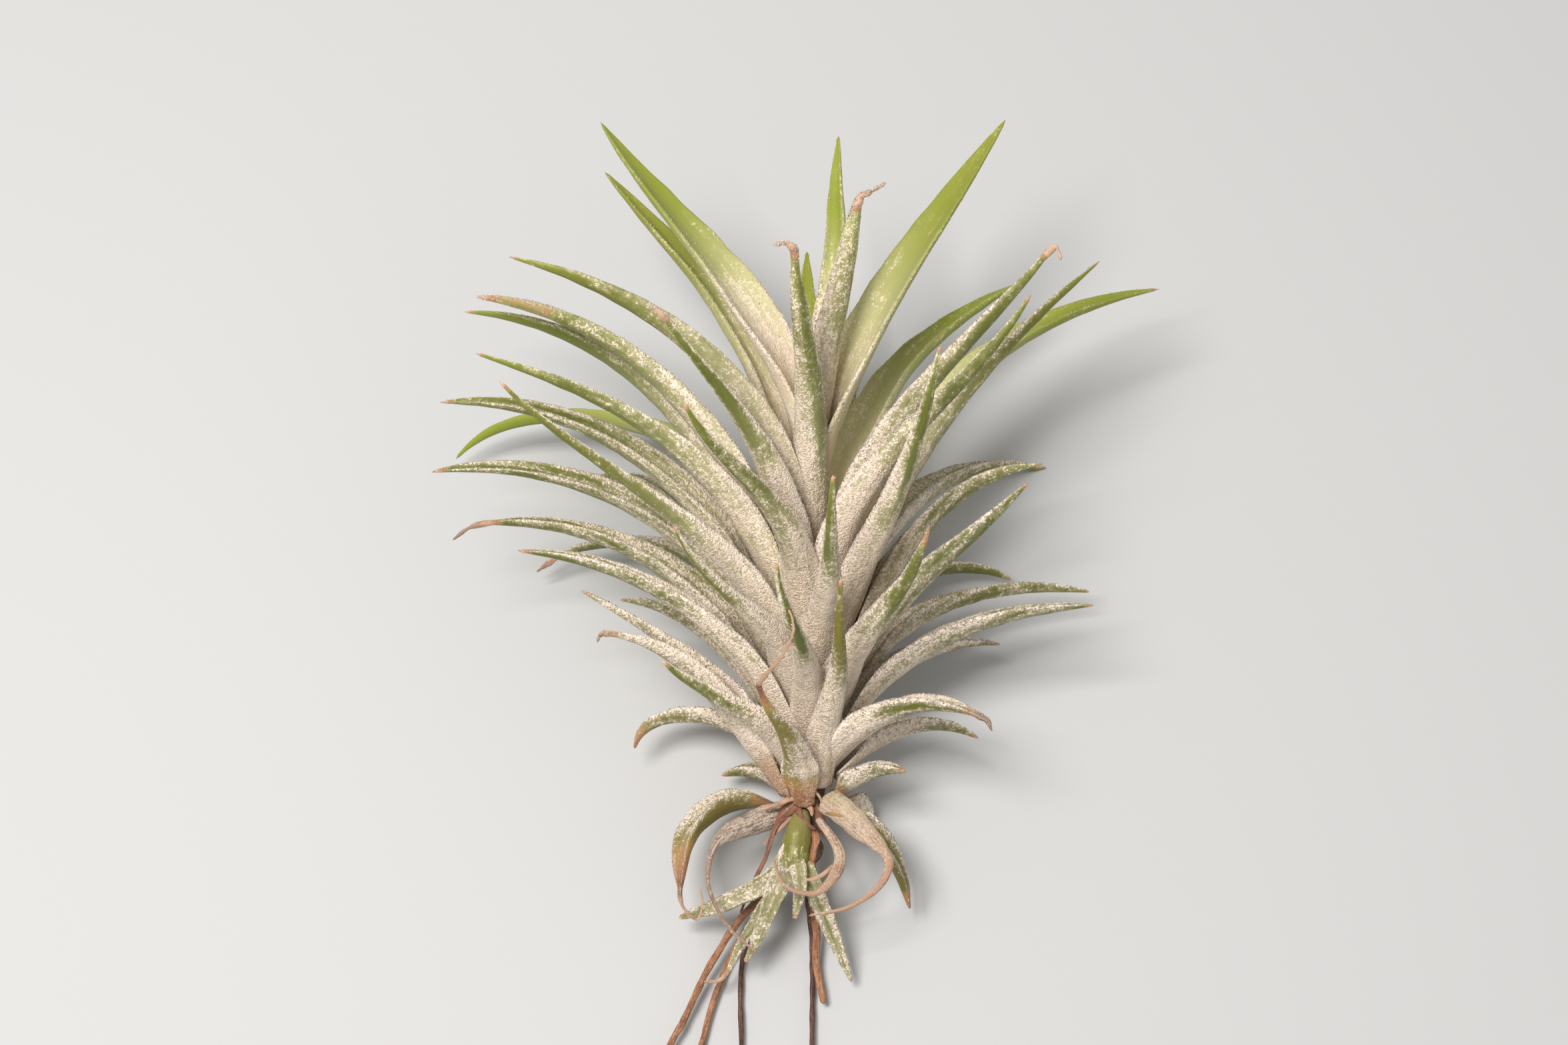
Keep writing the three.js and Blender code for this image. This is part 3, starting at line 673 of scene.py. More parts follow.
def silver_leaf_material():
    """The living leaf: green tissue, paler while young, under silver scurf, dying back at its end."""
    material, tree, shader = new_material(
        "silver_leaf",
        Subsurface_Weight=0.18,
        Subsurface_Scale=0.0012,
        Subsurface_Radius=(0.7, 1.0, 0.35),
        Specular_IOR_Level=0.35,
        Sheen_Weight=0.07,
        Sheen_Roughness=0.5,
        Sheen_Tint=(0.95, 0.92, 0.82, 1),
    )
    blade = value_of(tree, "blade", "Vector")
    lines = use_group(tree, FIBRES, {"Blade": blade, "Across": 2.6, "Along": 0.10})["Lines"]
    streaks = use_group(tree, FIBRES, {"Blade": blade, "Across": 0.9, "Along": 0.085})["Lines"]
    scurf = use_group(tree, SCURF, {"Cover": value_of(tree, "cover"), "Streaks": streaks})
    youth, pale, flake = (value_of(tree, name) for name in ("youth", "pale", "flake"))

    tissue = blend(tree, ramp(tree, youth, 0.3, 1.0), DARK_TISSUE, LIME_TISSUE)
    tissue = blend(tree, value_of(tree, "olive"), tissue, OLIVE_TISSUE)
    tissue = blend(tree, pale, tissue, BLANCHED_TISSUE)
    tissue = blend(tree, maths(tree, "MULTIPLY", lines, 0.35), tissue, FIBRE)
    veiled = blend(tree, pale, blend(tree, youth, VEILED, VEILED_LIME), VEILED_BLANCHED)
    tissue = blend(tree, maths(tree, "MULTIPLY", scurf["Veil"], 0.85), tissue, veiled)
    withered = use_group(tree, WITHERING, {
        "Living": tissue, "Dryness": value_of(tree, "dryness"), "Blush": value_of(tree, "blush"),
    })

    shade = maths(tree, "MULTIPLY_ADD", scurf["Shade"], 0.55, maths(tree, "MULTIPLY", streaks, 0.45))
    shade = maths(tree, "MULTIPLY_ADD", value_of(tree, "rim"), 0.3, shade)
    scales = blend(tree, ramp(tree, shade, 0.3, 0.72), SCALE_SHADE, SCALE_LIGHT)
    greenish = maths(tree, "SUBTRACT", ramp(tree, youth, 0.35, 1.0, 0.0, 0.75), pale)
    scales = blend(tree, greenish, scales, YOUNG_SCALE)
    scales = blend(tree, ramp(tree, value_of(tree, "dryness"), 0.0, 0.6, 0.0, 0.5), scales, DRY_SCALE)
    scales = blend(tree, maths(tree, "MULTIPLY", flake, 0.7), scales, STANDING_SCALE)
    kept = maths(tree, "MULTIPLY_ADD", withered["Dead"], -0.5, 0.9)
    lying = maths(tree, "MULTIPLY", scurf["Mask"], kept)
    scaly = maths(tree, "MAXIMUM", lying, maths(tree, "MULTIPLY", flake, 0.85))
    colour = blend(tree, scaly, withered["Color"], scales)

    roughness = maths(tree, "MULTIPLY_ADD", maths(tree, "MAXIMUM", scurf["Mask"], flake), 0.38, 0.5)
    height = maths(tree, "MULTIPLY_ADD", lines, 0.5, scurf["Height"])
    height = maths(tree, "MULTIPLY", height, ramp(tree, youth, 0.2, 1.0, 1.0, 0.3))
    feed(tree, shader, colour, roughness, height, relief=0.0002)
    return material


# What is still green on a dry leaf, and its scales
PAPER_GREEN = (0.33, 0.30, 0.06, 1)
PAPER_SCALE = (0.60, 0.52, 0.42, 1)


def paper_material(name, light, dark, blush, thread):
    """Dried leaf: paper with fine lines along it, dark in patches, its scurf mostly gone.

    Where it has shrunk, its colour goes over to the thread's.
    """
    material, tree, shader = new_material(name, Sheen_Weight=0.1, Sheen_Roughness=0.5)
    where = node(tree, "TexCoord").outputs["Object"]
    blade = value_of(tree, "blade", "Vector")
    lines = use_group(tree, FIBRES, {"Blade": blade, "Across": 4.0, "Along": 0.25})["Lines"]
    scurf = use_group(tree, SCURF, {"Cover": value_of(tree, "cover"), "Streaks": lines})
    patches = ramp(tree, noise(tree, where, 420.0, 3.0, 0.6), 0.35, 0.7)
    paper = blend(tree, patches, light, dark)
    paper = blend(tree, ramp(tree, lines, 0.35, 0.75, 0.0, 0.65), paper, blush)
    paper = blend(tree, value_of(tree, "dryness"), paper, blend(tree, lines, thread, dark))
    paper = blend(tree, value_of(tree, "green"), paper, PAPER_GREEN)
    colour = blend(tree, maths(tree, "MULTIPLY", scurf["Mask"], 0.7), paper, PAPER_SCALE)
    roughness = maths(tree, "MULTIPLY_ADD", patches, 0.2, 0.62)
    height = maths(tree, "ADD", lines, maths(tree, "MULTIPLY", scurf["Height"], 0.5))
    feed(tree, shader, colour, roughness, height, relief=0.00018)
    return material


def root_material(name, light, dark):
    """A wiry root or the woody foot: ridged bark, lighter on its ridges, crossed by fine cracks."""
    material, tree, shader = new_material(name)
    where = node(tree, "TexCoord").outputs["Object"]
    blade = value_of(tree, "blade", "Vector")
    ridges = use_group(tree, FIBRES, {"Blade": blade, "Across": 3.4, "Along": 0.5})["Lines"]
    grain = noise(tree, where, 2600.0, 3.0, 0.6)
    bark = maths(tree, "MULTIPLY_ADD", ridges, 0.65, maths(tree, "MULTIPLY", grain, 0.35))
    colour = blend(tree, ramp(tree, bark, 0.36, 0.66), dark, light)
    colour = blend(tree, value_of(tree, "dryness"), colour, light)
    roughness = ramp(tree, bark, 0.3, 0.7, 0.85, 0.55)
    feed(tree, shader, colour, roughness, bark, relief=0.00025)
    return material


SILVER_LEAF = silver_leaf_material()
PAPERS = {
    "tan": paper_material(
        "tan_dry_leaf", light=(0.50, 0.31, 0.19, 1), dark=(0.26, 0.13, 0.08, 1),
        blush=(0.66, 0.48, 0.35, 1), thread=(0.62, 0.38, 0.26, 1)),
    "grey": paper_material(
        "grey_dry_leaf", light=(0.29, 0.205, 0.165, 1), dark=(0.075, 0.048, 0.04, 1),
        blush=(0.52, 0.40, 0.34, 1), thread=(0.56, 0.33, 0.22, 1)),
    "brown": paper_material(
        "brown_dry_scrap", light=(0.25, 0.10, 0.055, 1), dark=(0.06, 0.022, 0.02, 1),
        blush=(0.36, 0.17, 0.1, 1), thread=(0.30, 0.14, 0.08, 1)),
}
TAN_ROOT = root_material("tan_root", light=(0.46, 0.225, 0.115, 1), dark=(0.18, 0.075, 0.04, 1))
DARK_ROOT = root_material("dark_root", light=(0.16, 0.075, 0.05, 1), dark=(0.045, 0.022, 0.018, 1))
WOOD = root_material("woody_stem", light=(0.22, 0.13, 0.08, 1), dark=(0.06, 0.032, 0.022, 1))


def blade_rings(path, across, half_width, bend, thickness, fold=0.0):
    """Rings of a channelled blade along a path, and each ring point's place across it and side.

    A ring runs round by a turn. Its cosine is the place across the blade, from edge to edge, and its sine
    is the side, above 0 in the channel. The middle of the strip is bent on an arc round the channel, mixed
    by fold with a V of the same breadth and depth, rounded at its keel. Half the thickness goes to each
    side, falling to EDGE_SHARE at the edge, and a power of the sine rounds the edge itself.
    """
    turn = np.arange(BLADE_RING) * 2 * np.pi / BLADE_RING
    s, side = np.cos(turn), np.sin(turn)
    swell = np.sign(side) * np.abs(side) ** EDGE_ROUNDING * mix(1, EDGE_SHARE, s**2)
    keeled = (np.hypot(s, KEEL_ROUNDING) - KEEL_ROUNDING) / (math.hypot(1, KEEL_ROUNDING) - KEEL_ROUNDING)
    half_width, bend, thickness = (values[:, None] for values in (half_width, bend, thickness))
    angle = s * half_width / bend
    reach = half_width / bend
    offset = swell * thickness / 2
    tangents = unit(np.gradient(path, axis=0))
    face = np.cross(tangents, across)
    right = mix(bend * np.sin(angle), bend * np.sin(reach) * s, fold) - offset * np.sin(angle)
    depth = mix(bend * (1 - np.cos(angle)), bend * (1 - np.cos(reach)) * keeled, fold)
    up = depth + offset * np.cos(angle)
    rings = path[:, None] + across[:, None] * right[..., None] + face[:, None] * up[..., None]
    return rings, np.broadcast_to(s, angle.shape), np.broadcast_to(side, angle.shape)


def closing(distance, length):
    """How far an end has closed: a quarter ellipse over the last length, from 1 down to almost 0."""
    inwards = np.clip(1 - distance / length, 0, 1)
    return np.sqrt(np.maximum(1 - inwards**2, 0.01))


def outward(rings):
    """The outward normals: the step round the ring crossed with the step along the path."""
    round_step = np.roll(rings, -1, axis=1) - np.roll(rings, 1, axis=1)
    path_step = np.gradient(rings, axis=0)
    normals = np.cross(round_step, path_step)
    return normals / np.maximum(np.linalg.norm(normals, axis=-1, keepdims=True), 1e-9)


def scale_flakes(rings, weight, count, rng):
    """Silver scales standing off a blade, as pointed four-faced tongues that lean towards its tip.

    Places are drawn by weight over the ring points and then shifted at random within their cells, by
    mixing the four corners of a cell. Returns the vertices, the triangles and the cell of each vertex.
    """
    inner = weight[:-1].ravel() / weight[:-1].sum()
    cell = rng.choice(inner.size, count, p=inner)
    i, j = np.divmod(cell, rings.shape[1])
    k = (j + 1) % rings.shape[1]
    a, b = rng.random((2, count, 1))

    def mixed(values):
        return mix(mix(values[i, j], values[i, k], a), mix(values[i + 1, j], values[i + 1, k], a), b)

    at, up = mixed(rings), unit(mixed(outward(rings)))
    lengthwise = unit(mixed(np.gradient(rings, axis=0)))
    sway = rng.normal(0, FLAKE_SWAY, (count, 1))
    ahead = square_to(lengthwise + sway * np.cross(up, lengthwise), up)
    aside = np.cross(up, ahead)
    length, width, rise = (
        rng.uniform(*sizes, (count, 1)) for sizes in (FLAKE_LENGTH, FLAKE_WIDTH, FLAKE_RISE)
    )
    sunk = at - FLAKE_SINKING * up
    vertices = np.stack([
        sunk - aside * width,
        sunk + ahead * 0.5 * length - FLAKE_DIP * up,
        sunk + aside * width,
        at + ahead * length + rise * up,
    ], 1).reshape(-1, 3)
    corner = np.arange(count)[:, None, None] * 4
    faces = np.array([[0, 2, 1], [0, 3, 2], [0, 1, 3], [1, 2, 3]])[None]
    return vertices, (corner + faces).reshape(-1, 3), np.repeat(i * rings.shape[1] + j, 4)


def leaf_midrib(n, t):
    """Leaf n's midrib at the shares t of its way, with the azimuth and the distance from the stem's axis.

    In the plane through the stem the midrib is a cubic Bezier curve from the leaf's place in the spiral to
    its tip, with handles along its lean and its arch. It swings round the stem to the tip's azimuth by a
    smooth step. Its root climbs the stem from the oldest leaf to the youngest.
    """
    seen_right, seen_up, out, lean, arch, _ = LEAVES[n]
    nearness = 1 - out / VIEW_DISTANCE
    right = mix(VIEW_CENTRE[0], seen_right, nearness)
    up = mix(VIEW_CENTRE[1], seen_up, nearness)

    age = n / (len(LEAVES) - 1)
    rise = HEART_RISE * max(0, 1 - n / HEART_COUNT) ** 2
    foot = mix(LEAFY_FOOT, LEAFY_TOP, (1 - age) ** FOOT_CROWDING) + rise
    foot_radius = HEART_ROOT_RADIUS
    if n >= HEART_COUNT:
        foot_radius = stem_radius(foot) + STEM_GAP + ROOT_THICKNESS / 2
    foot_azimuth = math.radians((FIRST_AZIMUTH + GOLDEN_ANGLE * n) % 360)
    turn = math.atan2(right, out) - foot_azimuth
    swing = math.atan2(math.sin(turn), math.cos(turn))

    start = np.array([foot_radius, foot])
    end = np.array([math.hypot(right, out), up])
    span = np.linalg.norm(end - start)
    lean, arch = math.radians(lean), math.radians(arch)
    leave = start + ROOT_HANDLE * span * np.array([math.sin(lean), math.cos(lean)])
    arrive = end - TIP_HANDLE * span * np.array([math.sin(arch), math.cos(arch)])
    u = t[:, None]
    v = 1 - u
    profile = start * v**3 + 3 * leave * u * v**2 + 3 * arrive * u**2 * v + end * u**3
    radius, height = profile.T
    azimuth = foot_azimuth + swing * smooth(t, 0, 1)
    return np.stack([radius * np.sin(azimuth), height, radius * np.cos(azimuth)], -1), azimuth, radius


def add_blade(surface, rings, values, weight, count, rng):
    """Adds a blade's skin, and scales drawn by weight, which take the values of where they stand."""
    surface.add_rings(rings, {**values, "flake": 0})
    flakes, triangles, cells = scale_flakes(rings, weight, count, rng)
    rows = {
        name: value.reshape(-1, *value.shape[2:])[cells] if np.ndim(value) else value
        for name, value in values.items()
    }
    surface.add(flakes, triangles, {**rows, "flake": 1})


def dried_foot(n):
    """How far leaf n's foot has dried and narrowed, from 0 to 1."""
    return smooth(n, OLD_LEAVES - 4, OLD_LEAVES + 4)


def dried_end(path, steps):
    """The way on from a midrib's end by the steps: a smooth curve that leaves along the midrib."""
    knots = np.vstack([path[-8], path[-1], path[-1] + np.cumsum(steps, axis=0)])
    reach = np.linalg.norm(steps, axis=1).sum()
    curve = curve_through(knots, 12 + int(5 * reach))
    return curve[travelled(curve) > np.linalg.norm(path[-8] - path[-1]) + 0.1]


def leaf_section(n, t, distance, living, rng):
    """Leaf n's width and thickness on its way, by the solids' formulas, but slimmer towards the tip.

    A dried end is narrower and rounder. Slow ripples change both a little.
    """
    age = n / (len(LEAVES) - 1)
    taper = mix(YOUNG_TAPER, OLD_TAPER, age)
    full = LEAF_WIDTH * LEAVES[n][5] * (1 - t**taper) ** BLUNT.get(n, TIP_BLUNTNESS)
    full = full * (1 + LOWER_FULLNESS * (1 - smooth(t, 0.4, 0.8)) * (n >= HEART_COUNT))
    full = full * (1 - SLENDER.get(n, 0) * smooth(t, 0.1, 0.75))
    narrowest = TIP_WIDTH
    if n in DRY_ENDS:
        dry_width, end_width = THREAD_WIDTHS if n in THREADS else DRY_WIDTHS
        narrowest = mix(dry_width, end_width, smooth(distance, living - 1, distance[-1]))
    root_width = mix(ROOT_WIDTH, OLD_ROOT_WIDTH, dried_foot(n))
    width = np.maximum(mix(root_width, full, smooth(t, 0, FULL_WIDTH_SHARE)), narrowest)
    width = width * (1 + ripple(distance, 0.035, 6, rng) * smooth(t, 0.2, 0.5))
    thickness = mix(ROOT_THICKNESS, BLADE_THICKNESS, smooth(t, 0, FULL_THICKNESS_SHARE))
    thickness = np.maximum(thickness * np.sqrt(1 - t**4), TIP_THICKNESS)
    if n in DRY_ENDS:
        thickness = mix(thickness, DRY_ROUNDNESS * width, smooth(distance, living - 1.5, living + 0.3))
    return width, thickness * (1 + ripple(distance, 0.06, 5, rng))


def leaf(n):
    """Leaf n as a surface: a channelled blade on its midrib, carried on by its dried end, with its scales.

    Slow ripples bend the midrib a little. The blade twists slightly towards its tip, and some leaves turn
    about the midrib towards the viewpoint. A dried end is shrivelled, in ripples too.
    """
    rng = np.random.default_rng(seed=100 + n)
    t = np.linspace(0, 1, BLADE_STATIONS)
    path, azimuth, radius = leaf_midrib(n, t)
    living = travelled(path)[-1]
    across = np.stack([np.cos(azimuth), np.zeros_like(azimuth), -np.sin(azimuth)], -1)
    if n in DRY_ENDS:
        beyond = dried_end(path, DRY_ENDS[n])
        path = np.vstack([path, beyond])
        across, t, radius = (
            np.concatenate([row, np.repeat(row[-1:], len(beyond), 0)]) for row in (across, t, radius)
        )
    tangents = unit(np.gradient(path, axis=0))
    across = square_to(across, tangents)
    distance = travelled(path)
    path = path + across * (ripple(distance, 0.22, 26, rng) * smooth(t, 0.15, 0.6))[:, None]

    width, thickness = leaf_section(n, t, distance, living, rng)
    arc = mix(CHANNEL_ARC, OPEN_CHANNEL_ARC, smooth(LEAVES[n][5], 1, 1.15))
    channel = width / 2 / arc
    bend = np.maximum(mix(radius, channel, smooth(t, 0, SHEATH_SHARE)), channel)
    end = closing(distance[-1] - distance, TIP_ROUNDING)
    shrivel = 1 - 0.25 * smooth(distance, living, living + 1.5) * (1 + ripple(distance, 1, 1.6, rng))
    face = np.cross(tangents, across)
    towards_view = np.arctan2(-across[:, 2], face[:, 2])
    twist = TURNED.get(n, 0) * towards_view * smooth(t, 0.05, 0.45)
    twist = (twist + rng.uniform(-0.3, 0.3) * smooth(t, 0.25, 1))[:, None]
    across = across * np.cos(twist) + face * np.sin(twist)
    fold = mix(HEART_FOLD, LEAF_FOLD, smooth(n, HEART_COUNT - 2, HEART_COUNT + 8))
    half_width = width / 2 * end * shrivel
    rings, s, side = blade_rings(path, across, half_width, bend, thickness * end * shrivel, fold)
    rings = resting(rings)

    t, distance, width = (np.broadcast_to(row[:, None], s.shape) for row in (t, distance, width))
    values, crust = leaf_values(n, t, s, side, distance, living, width, rng)
    weight = values["cover"] * (0.3 + 3.2 * np.abs(s) ** 8) * (1 - 0.5 * values["dryness"] + 6 * crust)
    weight = weight * smooth(t, 0.08, 0.3) * width
    flakes = CRUSTED_FLAKES if n in CRUSTED else LEAF_FLAKES
    surface = Surface()
    add_blade(surface, rings, values, weight, int(flakes * distance[-1, 0] * values["cover"].mean()), rng)
    return surface


def leaf_values(n, t, s, side, distance, living, width, rng):
    """Leaf n's surface values on its rings, and how crusted it is along its way, from 0 to 1.

    cover: the share hidden by scurf, highest at the foot and at the margins, and worn off along the middle
    of the outer face towards the tip; for a few leaves it also carries painted light and shade. youth,
    pale and olive: how yellow-green, how blanched and how olive the tissue is, the youth partly painted
    light on leaf 2. dryness: a smooth step over the withered end, and over the foot of an old leaf.
    rim: a high power of the place across, at the edges of the older leaves. blade: millimetres across and
    along the blade, shifted for each leaf.
    """
    withered, blush = WITHERED.get(n, TIP_WITHERED)
    # For leaves 26, 31, 34 and 39 this table's cover is lowered as painted shade, and for leaf 8 raised as
    # painted light
    scurf, wear = SCURF_AND_PAINTED_LIGHT.get(n, DEFAULT_SCURF)
    by_age = max(smooth(HEART_COUNT + 3 - n, 0, HEART_COUNT - 2), 0.5 * (1 - smooth(n, HEART_COUNT, 45)))
    young = YOUTH_AND_PAINTED_LIGHT.get(n, by_age)
    edge = np.abs(s)
    outer = smooth(-side, -0.15, 0.35)
    belly = smooth(t, 0.3, 0.75) * (1 - edge**3)
    # The lime leaves keep some scurf at the foot, partly painted light: it lightens the foot of leaf 8,
    # which lies in its neighbours' shade
    foot = mix(0.3, 0.15, n in LIME) * (1 - smooth(t, 0.12, 0.55))
    bare = mix(0.16, 0.5, n < HEART_COUNT)
    on_outer = scurf + foot - wear * (0.56 * belly + 0.10 * smooth(t, 0.7, 1))
    on_inner = scurf + foot - bare * smooth(t, 0.4, 0.95)
    cover = mix(on_inner, on_outer, outer) + 0.3 * (1 - 0.8 * young) * edge**5 * smooth(t, 0.1, 0.4)
    if n in WORN_STRIPES:
        first, last, middle, breadth = WORN_STRIPES[n]
        along_it = smooth(t, first - 0.12, first + 0.12) * (1 - smooth(t, last - 0.12, last + 0.12))
        cover = cover - 0.55 * outer * along_it * np.exp(-(((s - middle) / breadth) ** 2))
    if n == WHITE_PATCHED:
        cover = cover + 0.5 * smooth(t, 0.1, 0.3) * (1 - smooth(t, 0.42, 0.6)) * (0.75 + 0.25 * s)
    dying = smooth(distance, living - withered, living + 0.25 * withered)
    dryness = np.where(distance > living, 1.0, dying)
    blushed = mix(blush, END_BLUSH.get(n, PINK_END), smooth(distance, living, living + 0.8))
    old_foot = dried_foot(n) * (1 - smooth(t, 0.04, 0.3))
    dryness = np.maximum(dryness, 0.75 * old_foot)
    crust_length, crust_dryness = CRUSTED.get(n, (1.0, 0.0))
    crust = (n in CRUSTED) * smooth(distance, living - crust_length, living - 0.7 * crust_length)
    dryness = np.maximum(dryness, crust_dryness * crust * (0.75 + 0.25 * s))
    cover = cover - 0.45 * old_foot
    blade = np.stack([s * width / 2 + 40.0 * n, distance + rng.uniform(0, 50), 0.7 * np.sign(side)], -1)
    return {
        "cover": np.clip(cover, 0.02, 1.05),
        "youth": np.clip(young + 0.3 * smooth(t, 0.75, 1), 0, 1),
        "pale": young * 0.92 * (1 - smooth(t, 0.12, 0.8)),
        "olive": OLIVE.get(n, 0.35 * rng.random()),
        "dryness": dryness,
        "blush": blushed,
        "rim": edge**5 * (n > HEART_COUNT),
        "blade": blade,
    }, crust


def make_leaves():
    """The heart's leaves stand for its one solid, and every other leaf for its own."""
    for n in range(len(LEAVES)):
        if n < HEART_COUNT:
            piece(f"heart_leaf_{n + 1}", leaf(n), SILVER_LEAF, "heart_leaves")
        else:
            solid = f"leaf_{n + 1:02d}"
            piece(solid + "_blade", leaf(n), SILVER_LEAF, solid)


make_leaves()


# The offset's short stem: its path and radii. Its leaves: widths along each, and its path
PUP_STEM = [[-0.6, -3.0, 2.2], [-1.2, -5.2, 3.4], [-1.7, -8, 4.2], [-2, -12, 4.8]]
PUP_STEM_RADII = [0.7, 1.75, 1.95, 1.1]
PUP_LEAVES = [
    ([3.4, 3.6, 2.9, 1.9, 0.5],
     [[-1.8, -7.2, 4.2], [-4.5, -14, 5.6], [-7.5, -21.6, 5], [-8.6, -23.6, 4.6]]),
    ([2.6, 2.9, 2.8, 2.1, 0.5], [[-2.2, -8, 4], [-4.3, -11.4, 5], [-10, -15, 4], [-17.6, -17.9, 1.4]]),
    ([2.6, 2.8, 2.3, 1.5, 0.7, 0.35],
     [[-1.8, -9, 3.6], [-4.8, -14.6, 4.2], [-9, -21, 4.2], [-11.8, -25.9, 4.2], [-14.2, -26.2, 4.8]]),
    ([2.4, 2.9, 2.6, 1.7, 0.4], [[-1, -9, 4], [1.6, -15.7, 4.8], [4, -21.5, 3.8], [5.9, -26.4, 2.8]]),
    ([2, 2.3, 1.6, 0.5], [[-1.6, -9, 5], [-1.2, -13, 6.6], [-1.8, -17.5, 6.4]]),
]
WITHERED_PUP_LEAF = 2  # its place in the list

# The dried leaves: shade, widths along each, how far each turns over on its way, and its path
DRY_LEAVES = {
    "dry_leaf_left": (
        "grey", [3.2, 4.3, 3.4, 1.2, 0.75, 0.65, 0.6, 0.45], 40,
        [[-2, -3.2, 1.6], [-7.6, -4.9, 3.6], [-12.2, -7.0, 5.6], [-13.6, -12.4, 7.2], [-10.8, -18.4, 8.4],
         [-6.9, -21.9, 8.6]]),
    "dry_leaf_right": (
        "tan", [4.2, 4.5, 4.4, 3.0, 1.7, 1.3, 1.0, 0.75, 0.6, 0.4], -35,
        [[2, -1.2, 4], [5, -3.4, 7.6], [8.6, -6.4, 9.6], [10.8, -9.4, 10.4], [9.6, -12.6, 10.4],
         [5.4, -15.6, 9.8], [0, -16.8, 9]]),
    "dry_loop": (
        "tan", [1.1, 1.3, 1.7, 1.9, 1.5, 0.9, 0.8, 0.7, 0.45], 55,
        [[1.2, -4, 3.2], [4.3, -9.3, 6.6], [1.1, -13.6, 9.2], [-3.2, -12.5, 10], [-4.8, -8.8, 9.6]]),
}
GREEN_DRY_LEAF = "dry_leaf_right"  # its base is still green on one side

# The stem's wood, and the growing point inside the heart: height and radius
WOOD_PROFILE = [(STEM_FOOT, 1.5), (-5, 2.4), (0, 2.9), (TAPER_START, 2.9), (STEM_TOP, 2.1)]
GROWING_POINT_PROFILE = [(STEM_TOP + STEM_GAP, 2.2), (33, 2.2), (39, 1.6), (45, 1.0)]

# Roots: finish, radius and path, and how the radius changes along each
ROOTS = [
    (TAN_ROOT, 0.52,
     [[0, -9.4, 0], [-9.1, -17.9, 1], [-13.9, -25.3, 2.6], [-17.1, -31.8, 4.6], [-19, -35.3, 5.8],
      [-22, -43, 8.4]]),
    (TAN_ROOT, 0.47,
     [[0, -9.4, 0], [-8.6, -20, -0.6], [-12.3, -27.5, 1.8], [-14.6, -35.3, 4.9], [-16.5, -44, 8.6]]),
    (DARK_ROOT, 0.38,
     [[0, -9.4, 0], [-4.5, -15, -1.6], [-8.6, -22.1, -0.6], [-9.1, -35.3, 5], [-9, -45, 9.2]]),
    (DARK_ROOT, 0.38,
     [[0, -9.4, 0], [0, -15.7, -1.6], [0.5, -21.1, -1], [0.5, -35.3, 5.1], [0.8, -44, 8.8]]),
    (TAN_ROOT, 0.6,
     [[0.2, -9.4, 0.4], [1.1, -20, 0.6], [1.1, -24.3, 1.2], [2.1, -29.4, 3]]),
]
ROOT_SHARES = (1.25, 1, 0.9, 0.85, 0.75)

# The knob that the roots spring from and the blunt stub: radii and path
ROOT_KNOB = ([1.5, 1.8, 1.7, 0.8], [[0, -7.2, 0], [0.1, -8.6, 0.1], [0, -9.6, 0], [0.1, -11, 0.1]])
ROOT_STUB = (
    [0.42, 0.5, 0.48, 0.5, 0.3],
    [[0.5, -5.4, 3.0], [1.1, -6.9, 4.2], [0.85, -8, 4.6], [0.6, -9.3, 4.6], [0.35, -11.2, 4]],
)

# Scraps of old leaf bases round the foot: shade, widths and path
FOOT_SCRAPS = {
    "tan_strip": ("tan", [0.5, 1.0, 0.9, 0.7, 0.3],
        [[0, -1.3, 3.4], [-2.5, -1.4, 4.3], [-4.2, -2.2, 4.4], [-6.4, -2.9, 4.2]]),
    "tan_spur": ("tan", [0.4, 0.6, 0.5], [[-2.6, -1.5, 4.3], [-2.9, -0.7, 5], [-3.1, 0.1, 5.3]]),
    "orange_curl": ("brown", [0.7, 1.0, 0.9, 0.5],
        [[-1.2, -2.2, 2.9], [-1.2, -3.6, 4.0], [-0.3, -4.8, 4.6], [0.9, -5.7, 4.5]]),
    "tan_hook": ("tan", [0.5, 0.8, 0.4], [[-0.5, -2.4, 3.2], [0.3, -2.8, 4.2], [0.5, -3.8, 4.3]]),
    "pink_thread": ("tan", [0.35, 0.4, 0.3],
        [[0, -1, 3.6], [0.9, -0.5, 4.6], [1.6, -1.3, 4.4], [1.9, -2.5, 3.6]]),
    "left_strip": ("tan", [0.6, 0.9, 0.8, 0.4],
        [[-1.6, -3.4, 2.2], [-3.3, -4.8, 3.4], [-4.7, -6.2, 3.2], [-6.1, -7.8, 2.8]]),
    "brown_scale": ("brown", [1.6, 2.2, 1.4, 0.5],
        [[0.6, -1.6, 2.6], [1.5, -3.6, 3.2], [2, -5.4, 3], [2.3, -7, 2.4]]),
    "left_scale": ("brown", [2.2, 3.0, 2.0, 0.5],
        [[-0.8, -0.9, 2.4], [-2.4, -2.1, 3.0], [-3.8, -3.6, 2.7], [-4.8, -5.2, 2.2]]),
    "back_scale": ("brown", [1.8, 2.2, 1.2, 0.4],
        [[0.4, -3.6, -2.4], [0.8, -6, -2.9], [1.1, -8, -2.4], [1.4, -9.6, -1.4]]),
    "brown_strand": ("brown", [0.7, 1.1, 1.0, 0.9, 0.6],
        [[-1.2, -3.4, 2.4], [-4.3, -5.0, 3.4], [-5.9, -9.4, 3.8], [-7.9, -13.6, 2.8],
         [-9.3, -17.2, 2.0]]),
    "loop_strand": ("tan", [0.4, 0.7, 0.6, 0.35],
        [[3.3, -10.1, 7], [2.2, -11.2, 7.6], [0.8, -11.9, 8.2], [-0.5, -12, 8.6]]),
}


